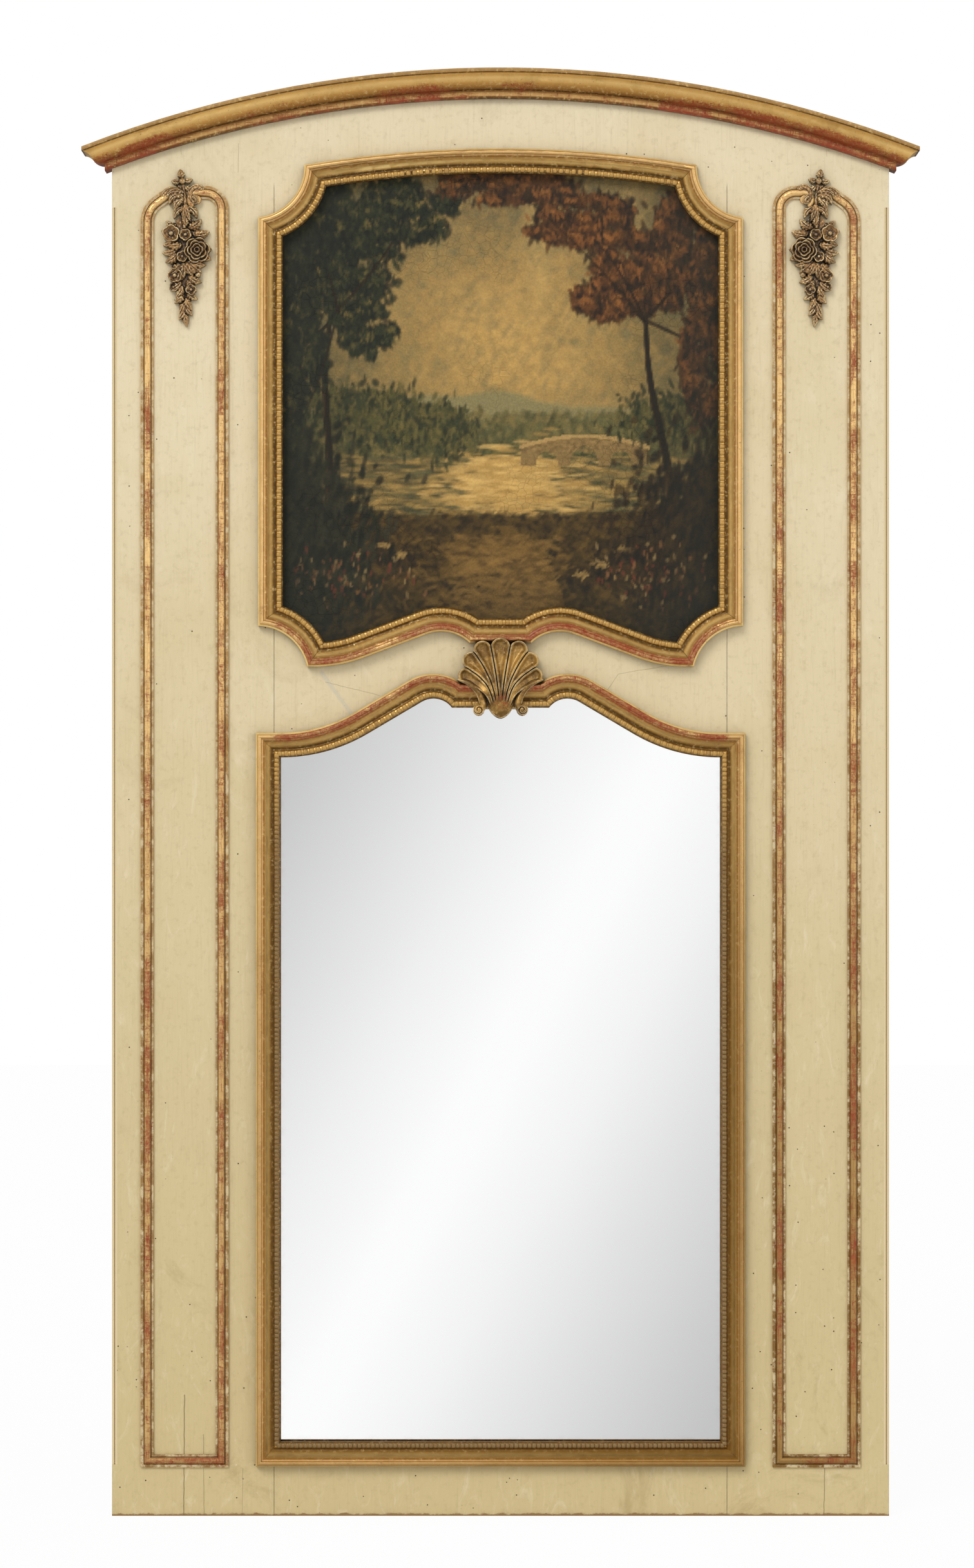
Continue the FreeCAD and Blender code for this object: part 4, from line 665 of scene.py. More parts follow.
def bead_tree():
    """Beads in a row along every line of the input mesh."""
    tree = bpy.data.node_groups.new("bead_row", "GeometryNodeTree")
    tree.is_modifier = True
    for name, kind, way, value in (
            ("Geometry", "Geometry", "INPUT", None), ("Pitch", "Float", "INPUT", 0.0093),
            ("Length", "Float", "INPUT", 0.0088), ("Width", "Float", "INPUT", 0.0084),
            ("Rise", "Float", "INPUT", 0.0042), ("Seed", "Int", "INPUT", None),
            ("Finish", "Material", "INPUT", None), ("Geometry", "Geometry", "OUTPUT", None)):
        socket = tree.interface.new_socket(name, in_out=way, socket_type=f"NodeSocket{kind}")
        if value:
            socket.default_value = value
    n = Nodes(tree)
    given = n.add("NodeGroupInput").outputs
    line = n.add("GeometryNodeMeshToCurve", Mesh=given["Geometry"]).outputs["Curve"]
    spaced = n.add("GeometryNodeResampleCurve", mode="LENGTH", Curve=line,
                   Length=given["Pitch"]).outputs["Curve"]
    # a cube drawn a little more than half way to a ball, then stretched to the bead's size
    block = n.add("GeometryNodeMeshCube", Vertices_X=4, Vertices_Y=4, Vertices_Z=4).outputs["Mesh"]
    place = n.add("GeometryNodeInputPosition").outputs[0]
    ball = n.scaled(n.vector("NORMALIZE", place), 0.54)
    rounded = n.add("ShaderNodeMix", 0.58, None, None, None, place, ball, data_type="VECTOR").outputs[1]
    bead = n.add("GeometryNodeSetPosition", Geometry=block, Position=rounded).outputs[0]
    double = n.calc("MULTIPLY", given["Rise"], 2)
    size = n.add("ShaderNodeCombineXYZ", given["Length"], given["Width"], double).outputs[0]
    bead = n.add("GeometryNodeTransform", Geometry=bead, Scale=size).outputs[0]
    bead = n.add("GeometryNodeSetShadeSmooth", Geometry=bead).outputs[0]
    # upright on the board, and turned along the line
    turn = n.add("FunctionNodeAlignRotationToVector", axis="Z", Vector=(0, -1, 0)).outputs[0]
    tangent = n.add("GeometryNodeInputTangent").outputs[0]
    turn = n.add("FunctionNodeAlignRotationToVector", axis="X", pivot_axis="Z", Rotation=turn,
                 Vector=tangent).outputs[0]
    varied = n.add("FunctionNodeRandomValue", (0.93, 0.94, 0.90), (1.04, 1.04, 1.06),
                   data_type="FLOAT_VECTOR", Seed=given["Seed"]).outputs[0]
    row = n.add("GeometryNodeInstanceOnPoints", Points=spaced, Instance=bead, Rotation=turn, Scale=varied)
    row = n.add("GeometryNodeRealizeInstances", row.outputs[0])
    row = n.add("GeometryNodeSetMaterial", Geometry=row.outputs[0], Material=given["Finish"])
    n.add("NodeGroupOutput", row.outputs[0])
    return tree


def bead_row(name, lines, pitch, length, width, rise):
    """A piece with beads along the lines, each line a list of points (x, z)."""
    vertices, edges = [], []
    for line in lines:
        points = shortened(line, pitch / 2)
        first = len(vertices)
        vertices += [(p.x, FACE - BEAD_SEAT, p.z) for p in points]
        edges += [(first + i, first + i + 1) for i in range(len(points) - 1)]
    base = bpy.data.meshes.new(name)
    base.from_pydata(vertices, edges, [])
    carrier = show(name, base)
    tree = bpy.data.node_groups.get("bead_row") or bead_tree()
    modifier = carrier.modifiers.new("beads", "NODES")
    modifier.node_group = tree
    values = {"Pitch": pitch, "Length": length, "Width": width, "Rise": rise, "Seed": settings().seed,
              "Finish": material("bead_gilding")}
    for item in tree.interface.items_tree:
        if item.item_type == "SOCKET" and item.in_out == "INPUT" and item.name in values:
            modifier[item.identifier] = values[item.name]
    graph = bpy.context.evaluated_depsgraph_get()
    mesh = bpy.data.meshes.new_from_object(carrier.evaluated_get(graph))
    bpy.data.objects.remove(carrier)
    add_piece(name, mesh, None)


class TRUMEAU_OT_finishes(bpy.types.Operator):
    """Gives every CAD piece the finish of its slot"""

    bl_idname = "trumeau.finishes"
    bl_label = "Finishes"

    def execute(self, context):
        slots = {row["node"]: row["material_slot"] for row in frame["record"]["subparts"]}
        for name, node in nodes.items():
            node.data.materials.clear()
            node.data.materials.append(material(slots[name]))
        return {"FINISHED"}


class TRUMEAU_OT_beads(bpy.types.Operator):
    """Rows of beads on both frames' inner edges"""

    bl_idname = "trumeau.beads"
    bl_label = "Beads"

    def execute(self, context):
        s = settings()
        painting, mirror = painting_lines(BEAD_LINE), mirror_lines(BEAD_LINE)
        for name, halves, parts, joined, pitch, (long, width, rise) in (
                ("painting_beads", painting, painting, ("top", "centre"), s.bead_pitch, FINE_BEAD),
                ("mirror_head_beads", mirror, ("top", "centre"), ("centre",), s.bead_pitch, FINE_BEAD),
                ("mirror_rope_beads", mirror, ("side", "bottom"), ("bottom",), s.rope_pitch, ROPE_BEAD)):
            lines = whole_lines({part: halves[part] for part in parts}, joined)
            bead_row(name, lines, pitch, pitch * long, width, rise)
        return {"FINISHED"}


# Carving: every carved piece is a field of heights over the board, in millimetres


# A rose's rings of petals, from outside: their middle and size for a radius of 1, how many, height and turn
ROSE_RINGS = ((0.62, 0.44, 6, 0.42, 10), (0.44, 0.36, 5, 0.66, 40), (0.24, 0.28, 4, 0.86, 5),
              (0.07, 0.17, 3, 1.0, 60))


class Carving:
    """A grid of heights that stamps raise, and the mesh that it becomes."""

    def __init__(self, left, right, low, high, step):
        self.x, self.z = np.meshgrid(np.arange(left, right, step), np.arange(low, high, step))
        self.height = np.full(self.x.shape, -1.0)

    def raise_to(self, height, inside):
        self.height = np.where(inside, np.maximum(self.height, height), self.height)

    def local(self, x, z, angle):
        """Distances along and across a direction, in degrees from +X."""
        c, s = math.cos(math.radians(angle)), math.sin(math.radians(angle))
        dx, dz = self.x - x, self.z - z
        return dx * c + dz * s, dz * c - dx * s

    def boss(self, x, z, radius, base, rise):
        far = ((self.x - x) / radius) ** 2 + ((self.z - z) / radius) ** 2
        self.raise_to(base + rise * np.sqrt(np.clip(1 - far, 0, 1)), far < 1)

    def leaf(self, x, z, angle, length, width, base, rise, teeth, bend):
        """A pointed leaf with a cut midrib, side veins and a toothed edge."""
        along, across = self.local(x, z, angle)
        p = along / length
        inside = (p > 0) & (p < 1)
        p = np.clip(p, 0.001, 0.999)
        across = across - bend * length * np.sin(math.pi * p * 0.9)
        saw = (teeth * p) % 1.0
        half = width * np.sin(math.pi * p ** 0.72) ** 0.85 * (0.84 + 0.22 * (1 - saw))
        u = np.abs(across) / np.maximum(half, 0.01)
        height = base + rise * (0.45 + 0.55 * np.sin(math.pi * p)) * np.sqrt(np.clip(1 - u ** 2.6, 0, 1))
        height = height - 1.6 * np.exp(-(across / 0.8) ** 2) * np.sin(math.pi * p)
        veins = 0.5 + 0.5 * np.cos(2 * math.pi * (teeth * p - u * 0.9))
        height = height - 0.9 * veins * np.clip(u * 1.5, 0, 1)
        self.raise_to(height, inside & (u < 1))

    def petals(self, x, z, ring, size, count, level, lift, turn):
        """A ring of cupped petals whose outer edges are raised."""
        for i in range(count):
            angle = turn + 360 * i / count
            a = math.radians(angle)
            along, across = self.local(x + ring * math.cos(a), z + ring * math.sin(a), angle)
            far = np.hypot(along, across * 0.88) / size
            height = level + lift * (along / size) * 1.1 - lift * 0.9 * (1 - far ** 2)
            height = height - lift * 1.3 * np.clip((far - 0.84) / 0.16, 0, 1) ** 2
            self.raise_to(height, far < 1)

    def rose(self, x, z, radius, base, rise):
        for ring, size, count, level, turn in ROSE_RINGS:
            self.petals(x, z, radius * ring, radius * size, count, base + rise * level, rise * 0.26, turn)

    def flower(self, x, z, radius, base, rise, count, turn):
        self.petals(x, z, radius * 0.52, radius * 0.5, count, base + rise * 0.6, rise * 0.3, turn)
        self.boss(x, z, radius * 0.27, base + rise * 0.45, rise * 0.55)

    def tube(self, points, radii, levels, profile):
        """A band along points; profile(share across, share along, level) is its height."""
        best = np.full(self.x.shape, 9.0)
        share = np.zeros(self.x.shape)
        count = len(points)
        for i, (px, pz) in enumerate(points):
            far = np.hypot(self.x - px, self.z - pz) / radii[i]
            closer = far < best
            best = np.where(closer, far, best)
            share = np.where(closer, i / (count - 1), share)
        level = np.interp(share, np.linspace(0, 1, count), levels)
        self.raise_to(profile(best, share, level), best < 1)

    def smoothed(self, rounds):
        for _ in range(rounds):
            h = self.height
            inside = h > 0
            total, weight = h * inside * 2, inside * 2.0
            for axis in (0, 1):
                for shift in (-1, 1):
                    near = np.roll(h, shift, axis)
                    good = near > 0
                    total = total + near * good
                    weight = weight + good
            self.height = np.where(inside, total / np.maximum(weight, 1), h)

    def mesh(self, name, back):
        """A closed solid: carved front, walls, and a back at back(z), in metres."""
        h, x, z = self.height, self.x / 1000, self.z / 1000
        inside = h > 0
        cell = inside[:-1, :-1] & inside[1:, :-1] & inside[:-1, 1:] & inside[1:, 1:]
        used = np.zeros(h.shape, bool)
        for di in (0, 1):
            for dj in (0, 1):
                used[di:di + cell.shape[0], dj:dj + cell.shape[1]] |= cell
        index = np.full(h.shape, -1)
        index[used] = np.arange(used.sum())
        total = int(used.sum())
        rear = back(z[used])
        front = np.minimum(FACE - h[used] / 1000, rear - 0.0004)
        vertices = np.vstack([
            np.column_stack([x[used], front, z[used]]),
            np.column_stack([x[used], rear, z[used]]),
        ])
        i, j = np.nonzero(cell)
        a, b, c, d = index[i, j], index[i, j + 1], index[i + 1, j + 1], index[i + 1, j]
        faces = [np.column_stack([a, b, c, d]), np.column_stack([d, c, b, a]) + total]
        padded = np.pad(cell, 1)
        for p, q, near in ((a, b, padded[i, j + 1]), (b, c, padded[i + 1, j + 2]),
                           (c, d, padded[i + 2, j + 1]), (d, a, padded[i + 1, j])):
            edge = ~near
            faces.append(np.column_stack([q[edge], p[edge], p[edge] + total, q[edge] + total]))
        result = bpy.data.meshes.new(name)
        result.from_pydata(vertices.tolist(), [], np.vstack(faces).tolist())
        # the relief attribute: how far each point stands above its neighbours, which the material turns into
        # painted highlights and painted shade
        level = np.where(inside, h, 0)
        around = sum(np.roll(level, s, a) for a in (0, 1) for s in (-3, -2, 2, 3)) / 8
        crest = np.clip(0.5 + (h - around) * 0.42, 0, 1)[used]
        shade = result.attributes.new("relief", "FLOAT", "POINT")
        shade.data.foreach_set("value", np.concatenate([crest, np.full(total, 0.5)]))
        smooth = np.zeros(len(result.polygons), bool)
        smooth[:len(a)] = True
        result.polygons.foreach_set("use_smooth", smooth)
        result.update()
        return result


def bezier(points, count=40):
    """Points of the curve with these control points."""
    t = np.linspace(0, 1, count)
    order = len(points) - 1
    total = np.zeros((count, 2))
    for i, p in enumerate(points):
        total += np.outer(math.comb(order, i) * t ** i * (1 - t) ** (order - i), p)
    return total


# The shell's flutes from the middle to the right, in millimetres: tip (x, z), half width there, way it points
# and height
FLUTES = [
    ((0, 76.5), 14.8, (0, 1), 28.5),
    ((26.4, 73), 13.8, (0.40, 0.92), 28.0),
    ((43.0, 57), 13.4, (0.74, 0.67), 25),
    ((50.2, 35.0), 12.2, (0.93, 0.37), 25),
]
FLUTE_POINTS = 70
SHELL_BASE = 1204
SHELL_GRID = (-65, 65, 1174, 1297, 0.5)
NECK_PITCH = 4.9
EAR_RADIUS = 8.6


def flute_line(k):
    """The middle line of flute k, from the tongue up through the neck to its tip."""
    (x, z), half, way, _ = FLUTES[abs(k)]
    side = 1 if k >= 0 else -1
    reach = 12 + 5 * abs(k)
    points = [(NECK_PITCH * 0.55 * k, -20), (NECK_PITCH * k, 2), (NECK_PITCH * 1.2 * k, 20),
              (side * (x - way[0] * reach), z - way[1] * reach), (side * x, z)]
    line = bezier(points, FLUTE_POINTS) + (0, SHELL_BASE)
    share = np.linspace(0, 1, FLUTE_POINTS)
    return line, np.interp(share, [0, 0.3, 0.62, 0.85, 1], [2.7, 5.2, half * 0.86, half, half])


def carve_shell():
    """Seven flutes that fan out from a tongue, with a band and a small scroll at each side."""
    carving = Carving(*SHELL_GRID)
    x, z = carving.x, carving.z
    inner = np.full(x.shape, -99.0)
    rival = np.full(x.shape, -99.0)
    level = np.zeros(x.shape)
    width = np.ones(x.shape)
    run = np.zeros(x.shape)
    for k in range(-3, 4):
        line, radii = flute_line(k)
        gap = np.full(x.shape, -99.0)
        share = np.zeros(x.shape)
        radius = np.ones(x.shape)
        for i, ((px, pz), r) in enumerate(zip(line, radii)):
            near = r - np.hypot(x - px, z - pz)
            better = near > gap
            gap = np.where(better, near, gap)
            share = np.where(better, i / (FLUTE_POINTS - 1), share)
            radius = np.where(better, r, radius)
        mine = gap > inner
        rival = np.where(mine, inner, np.maximum(rival, gap))
        level = np.where(mine, np.interp(share, [0, 0.35, 0.6, 1], [30, 33, 31.5, FLUTES[abs(k)][3]]), level)
        width = np.where(mine, radius, width)
        run = np.where(mine, share, run)
        inner = np.where(mine, gap, inner)
    edge = np.minimum(inner, (inner - rival) / 2)
    base = SHELL_BASE
    fade = np.clip((z - base + 15) / 14, 0, 1)
    hollow = 5.6 * np.clip((width - 3.2) / 6, 0, 1)
    depth = np.clip((edge - 2.6) / np.maximum(width * 0.5, 0.5), 0, 1)
    flutes = level - 6.0 * (1 - fade) - 4.0 * fade * np.exp(-(edge / 0.8) ** 2)
    flutes = flutes - hollow * np.sin(depth * math.pi / 2)
    flutes = flutes - 1.1 * fade * np.exp(-((edge - 2.1) / 0.45) ** 2) * np.clip(width / 6, 0, 1)
    carving.raise_to(flutes, inner > 0)
    # the ground behind the fan, and the block under the bands
    far = np.hypot(x / 50, (z - base - 32) / 47)
    carving.raise_to(np.full(x.shape, 17.0), (far < 1) & (z > base + 26))
    half = np.interp(z, base + np.array([-14, -2, 10, 16]), [26, 24, 30, 35])
    carving.raise_to(np.full(x.shape, 23.0), (np.abs(x) < half) & (z > base - 14) & (z < base + 16))
    # the tongue that the ribs run out into
    down = np.clip((base + 6 - z) / 34, 0, 0.9999)
    half = 21 * (1 - down ** 2.4) ** 0.62
    tongue = 30.5 - 5.5 * down ** 3 - 7 * (np.abs(x) / half) ** 2.5
    carving.raise_to(tongue, (np.abs(x) < half) & (z < base + 6) & (z > base - 28))
    for side in (-1, 1):
        band = bezier([(side * 61, base + 29), (side * 47, base + 25), (side * 33, base + 20),
                       (side * 22, base - 2), (side * 27, base - 12)], 60)
        radii = np.interp(np.linspace(0, 1, 60), [0, 0.4, 0.8, 1], [2.4, 4.8, 6.2, 5.2])
        carving.tube(band, radii, np.linspace(25.5, 31, 60), lambda far, share, level: level - 5.5 * far ** 2)
        ear_x, ear_z = side * 32.2, base - 15
        carving.boss(ear_x, ear_z, EAR_RADIUS, 23, 7.5)
        spiral = np.hypot(x - ear_x, z - ear_z) / EAR_RADIUS
        angle = np.arctan2(z - ear_z, (x - ear_x) * side)
        groove = np.exp(-(((spiral * 1.8 - angle / (2 * math.pi)) % 1.0 - 0.5) / 0.13) ** 2)
        cut = (spiral < 0.94) & (spiral > 0.2)
        carving.height = np.where(cut, carving.height - 2.4 * groove, carving.height)
    carving.smoothed(1)
    under = MIRROR_STEP + FRAME_WIDTH + CLEARANCE
    return carving.mesh("carved_shell", lambda z: np.where(z < under, FACE - FRAME_RISE - CLEARANCE, FACE))


class TRUMEAU_OT_shell(bpy.types.Operator):
    """The carved shell over the two frames"""

    bl_idname = "trumeau.shell"
    bl_label = "Shell"

    def execute(self, context):
        add_piece("carved_shell", carve_shell(), material("carved_gilding"),
                  ["shell_ornament"])
        return {"FINISHED"}


# What a left drop is carved with, as it hangs: x from its middle line and z, in millimetres
DROP_MIDDLE = 465.75
DROP_GRID = (-44, 44, 1748, 1992)
DROP_LEAVES = [
    # x, z, degrees, length, width, base, rise, bend
    (-4, 1972, 100, 15, 6, 5, 6, 0.0), (-6, 1968, 175, 14, 5.5, 5, 6, 0.1),
    (0, 1968, 20, 13, 5, 5, 6, -0.1), (-5, 1962, 225, 14, 5.5, 4, 6, 0.1), (1, 1962, -50, 13, 5, 4, 6, 0.0),
    (-1, 1952, 200, 27, 6.5, 8, 6, -0.25), (-2, 1948, 222, 26, 6.5, 9, 6, -0.28),
    (-3, 1942, 244, 22, 6, 9, 6, -0.2), (0, 1931, 235, 25, 6.5, 4, 7, -0.2),
    (2, 1931, -52, 25, 6.5, 4, 7, 0.2), (1, 1934, 262, 26, 6, 6, 6, 0.05),
    (2, 1934, -74, 26, 5.5, 6, 6, -0.05), (-14, 1892, 168, 21, 7.5, 3, 8, 0.12),
    (-12, 1898, 140, 20, 7, 3, 8, 0.1), (-12, 1882, 200, 22, 7.5, 3, 8, 0.12),
    (6, 1898, 40, 24, 8, 3, 8, -0.12), (12, 1890, 12, 26, 8.5, 3, 8, -0.12),
    (2, 1902, 92, 18, 6, 3, 7, 0.0), (-10, 1868, 190, 24, 8, 3, 9, 0.14),
    (-9, 1862, 212, 24, 8, 3, 9, 0.12), (-4, 1874, 178, 22, 7.5, 5, 8, 0.1),
    (26, 1866, 8, 15, 6.5, 4, 8, 0.0), (26, 1858, -24, 15, 6.5, 4, 8, 0.0),
    (8, 1852, -14, 26, 8, 4, 9, -0.14), (6, 1850, -38, 26, 8, 5, 8, -0.12),
    (3, 1850, -62, 25, 7.5, 5, 8, -0.1), (-6, 1846, 218, 24, 8, 4, 9, 0.12),
    (-4, 1840, 246, 24, 7.5, 5, 8, 0.1), (0, 1848, 264, 24, 7, 6, 7, 0.0),
    (6, 1828, -22, 22, 7.5, 4, 8, -0.12), (4, 1822, -48, 22, 7, 4, 8, -0.1),
    (-5, 1820, 214, 21, 7, 4, 8, 0.12), (-3, 1814, 240, 21, 6.5, 4, 8, 0.1),
    (3, 1806, -34, 21, 6.5, 4, 7, -0.1), (-1, 1802, 222, 20, 6.5, 4, 7, 0.1),
    (2, 1796, -62, 21, 6, 4, 7, -0.08), (0, 1790, 244, 20, 6, 4, 7, 0.08),
    (1, 1784, -50, 18, 5.5, 4, 6, -0.08), (0, 1778, 236, 17, 5.5, 4, 6, 0.08),
    (1, 1774, -84, 22, 5, 4, 6, 0.0),
]
DROP_BOSSES = [
    # x, z, radius, base, rise
    (-3, 1968, 4.6, 8, 6), (-22, 1878, 4.4, 6, 7), (-27, 1886, 4.0, 5, 6), (30, 1874, 4.4, 5, 7),
    (14, 1836, 4.8, 8, 7), (20, 1830, 4.2, 7, 6), (-15, 1828, 4.4, 7, 7), (6, 1810, 4.4, 7, 6),
    (-5, 1796, 4.0, 6, 6), (5, 1788, 3.6, 6, 5), (0, 1762, 2.8, 5, 4),
]
DROP_FLOWERS = [
    # x, z, radius, base, rise, petals, turn
    (-19.5, 1891, 13.0, 8, 9, 5, 20), (1.5, 1889, 9.0, 9, 8, 5, 55), (-14, 1829, 10.8, 8, 9, 5, 30),
    (10, 1808, 8.2, 8, 8, 4, 10), (-16, 1812, 7.0, 6, 8, 4, 40), (-3, 1857, 8.4, 8, 7, 5, 5),
]
DROP_ROSE = (19, 1866, 18.5, 9, 13)


def drop_ground(carving):
    """The dark block that the leaves are cut from, a little inside their outline."""
    line = bezier([(0, 1915), (2, 1890), (0, 1850), (0, 1800), (0, 1764)], 40)
    radii = np.interp(np.linspace(0, 1, 40), [0, 0.25, 0.5, 0.75, 1], [8, 25, 21, 12, 4])
    carving.tube(line, radii, np.full(40, 3.5), lambda far, share, level: level)


def rolled(far, share, level):
    """A half round with a fine line cut beside its crown."""
    crown = level - 5.5 + 5.5 * np.sqrt(np.clip(1 - far ** 2, 0, 1))
    return crown - 1.1 * np.exp(-((far - 0.55) / 0.12) ** 2)


def carve_drop(side):
    """A finial, scrolls and a tapering bunch of leaves, flowers, one rose and buds."""
    carving = Carving(*DROP_GRID, settings().carving_step * 1000)
    drop_ground(carving)
    carving.tube(bezier([(-2, 1962), (2, 1945), (0, 1900)]), np.full(40, 3.2), np.full(40, 8.0),
                 lambda far, share, level: level - 3 * far ** 2)
    volute = bezier([(24, 1957), (12, 1966), (1, 1950), (7, 1934), (20, 1930), (21, 1943), (12, 1944)], 60)
    carving.tube(volute, np.linspace(5.4, 4.2, 60), np.linspace(9.5, 14, 60), rolled)
    curl = bezier([(-30, 1947), (-20, 1962), (-6, 1958), (-3, 1940), (-15, 1932), (-17, 1943)], 60)
    carving.tube(curl, np.linspace(5.4, 3.6, 60), np.linspace(9.5, 13, 60), rolled)
    for i, (x, z, angle, length, width, base, rise, bend) in enumerate(DROP_LEAVES):
        carving.leaf(x, z, angle, length, width, base + 0.4 * (i % 3), rise, 4 + i % 2, bend)
    for x, z, radius, base, rise in DROP_BOSSES:
        carving.boss(x, z, radius, base, rise)
    for flower in DROP_FLOWERS:
        carving.flower(*flower)
    carving.rose(*DROP_ROSE)
    # the gouge never cut evenly
    x, z = carving.x, carving.z
    uneven = 0.5 * np.sin(x * 0.9 + 1.3 * np.sin(z * 0.31)) * np.sin(z * 0.7 + 1.1 * np.sin(x * 0.43))
    carving.height = np.where(carving.height > 0, np.maximum(carving.height + uneven, 1.0), carving.height)
    if side > 0:
        carving.height = carving.height[:, ::-1]
        carving.x = -carving.x[:, ::-1]
    carving.x = carving.x + side * DROP_MIDDLE
    name = "carved_drop_left" if side < 0 else "carved_drop_right"
    return carving.mesh(name, lambda z: np.full(z.shape, FACE))


class TRUMEAU_OT_drops(bpy.types.Operator):
    """The carved flower drops in the side panels"""

    bl_idname = "trumeau.drops"
    bl_label = "Flower drops"

    def execute(self, context):
        for side, name in ((-1, "left"), (1, "right")):
            add_piece(f"carved_drop_{name}", carve_drop(side), material("carved_gilding"),
                      [f"{name}_flower_drop"])
        return {"FINISHED"}


# The picture: a made-up lake view between trees, painted in dabs on a grid of colours


CANVAS_GRID = (300, 320)


class Picture:
    """A grid of colours over the canvas; s runs from -1 to 1 across and t from 0 to 1 up."""

    def __init__(self, columns, rows, seed):
        self.rng = np.random.default_rng(seed)
        self.s, self.t = np.meshgrid(np.linspace(-1, 1, columns), np.linspace(0, 1, rows))
        self.colour = np.zeros((rows, columns, 3))

    def wash(self, share, code):
        """Lays a screen colour over the whole, by a share from 0 to 1 at each point."""
        share = np.clip(share, 0, 1)[..., None]
        self.colour = self.colour * (1 - share) + np.array(ink(code)) * share

    def ripple(self, scale, seed):
        """A smooth field of waves between -1 and 1."""
        rng = np.random.default_rng(seed)
        total = np.zeros(self.s.shape)
        for octave in range(4):
            f = scale * 1.9 ** octave
            a, b, c, _ = rng.uniform(0, 6.28, 4)
            angle = rng.uniform(0, 3.14)
            u = self.s * math.cos(angle) + self.t * math.sin(angle)
            v = self.t * math.cos(angle) - self.s * math.sin(angle)
            waves = np.sin(u * f + a + 1.7 * np.sin(v * f * 0.7 + b)) + np.sin(v * f * 1.3 + c)
            total += waves / 2 ** (octave + 1)
        return total

    def dab(self, s, t, long, wide, angle, colour, share):
        """One stroke of the brush, worked only where it lands."""
        rows, columns = self.s.shape
        reach = max(long, wide)
        j0, j1 = int((s - reach + 1) / 2 * columns), int((s + reach + 1) / 2 * columns) + 2
        i0, i1 = int((t - reach) * rows), int((t + reach) * rows) + 2
        window = (slice(max(i0, 0), max(i1, 0)), slice(max(j0, 0), max(j1, 0)))
        ds, dt = self.s[window] - s, (self.t[window] - t) * 1.05
        c, n = math.cos(angle), math.sin(angle)
        far = ((ds * c + dt * n) / long) ** 2 + ((dt * c - ds * n) / wide) ** 2
        cover = (np.clip(1.3 - far, 0, 1) * share)[..., None]
        self.colour[window] = self.colour[window] * (1 - cover) + np.array(colour) * cover

    def dabs(self, count, where, long, wide, tones, lean=0.0, spread=1.5, share=0.8):
        """Many strokes at random places that where(rng) gives, in random tones."""
        rng = self.rng
        for _ in range(count):
            s, t = where(rng)
            tone = tones[rng.integers(len(tones))]
            shade = rng.uniform(0.82, 1.18)
            colour = [min(channel * shade, 1) for channel in ink(tone)]
            size = rng.uniform(0.6, 1.3)
            self.dab(s, t, long * size, wide * size, lean + rng.normal(0, spread), colour, share)


def cloud_of(s, t, reach_s, reach_t):
    """Places spread around a middle."""
    return lambda rng: (s + rng.normal(0, reach_s), t + rng.normal(0, reach_t))


def strip_of(low_s, high_s, low_t, high_t):
    """Places all over an upright rectangle."""
    return lambda rng: (rng.uniform(low_s, high_s), rng.uniform(low_t, high_t))


def paint_tree(picture, trunk, crown, tones, lights):
    """A bending trunk and a crown of clumps, each made of small leaves, dark below and lit above."""
    (s0, t0), (s1, t1) = trunk
    rng = picture.rng
    for i in range(160):
        share = i / 159
        s = s0 + (s1 - s0) * share + 0.025 * math.sin(share * 7)
        t = t0 + (t1 - t0) * share
        wide = 0.022 * (1 - share * 0.7)
        picture.dab(s, t, 0.018, wide, 1.5, ink("#241C10"), 0.9)
        picture.dab(s - wide * 0.5, t, 0.014, wide * 0.22, 1.5, ink("#6B5430"), 0.5)
    for cs, ct, rs, rt in crown:
        # a bough reaches into each clump
        for i in range(40):
            share = i / 39
            bs = s1 + (cs - s1) * share + 0.03 * math.sin(share * 3)
            bt = t1 - 0.12 + (ct - t1 + 0.12) * share
            lean = math.atan2(ct - t1 + 0.12, cs - s1)
            picture.dab(bs, bt, 0.012, 0.005 * (1.3 - share), lean, ink("#2B2012"), 0.7)
        for _ in range(int(60 * math.sqrt(rs * rt / 0.02))):
            angle, far = rng.uniform(0, 6.28), math.sqrt(rng.uniform(0, 1))
            ms, mt = cs + rs * far * math.cos(angle), ct + rt * far * math.sin(angle)
            size = rng.uniform(0.25, 0.5)
            ws, wt = rs * size, rt * size
            picture.dabs(22, cloud_of(ms, mt, ws * 0.35, wt * 0.35), 0.017, 0.008, tones[:3], -0.4, 0.9)
            picture.dabs(12, cloud_of(ms - 0.008, mt + wt * 0.20, ws * 0.30, wt * 0.16), 0.013, 0.005,
                         tones[2:] + lights[:1], -0.4, 0.9, 0.7)
            if rng.uniform() < 0.5:
                picture.dabs(5, cloud_of(ms - 0.012, mt + wt * 0.32, ws * 0.22, wt * 0.10), 0.010, 0.004,
                             lights, -0.4, 0.9, 0.65)


# The hills: level, screen colour, seed and reach of the ridge
HILLS = ((0.515, "#8B8664", 3, 0.024), (0.480, "#6B6C4C", 5, 0.026), (0.440, "#4B5036", 8, 0.018))
# Small trees on the far shore: middle (s, t) and reach
FAR_TREES = ((-0.42, 0.470, 0.10), (-0.62, 0.500, 0.12), (0.74, 0.48, 0.10), (-0.24, 0.452, 0.05))
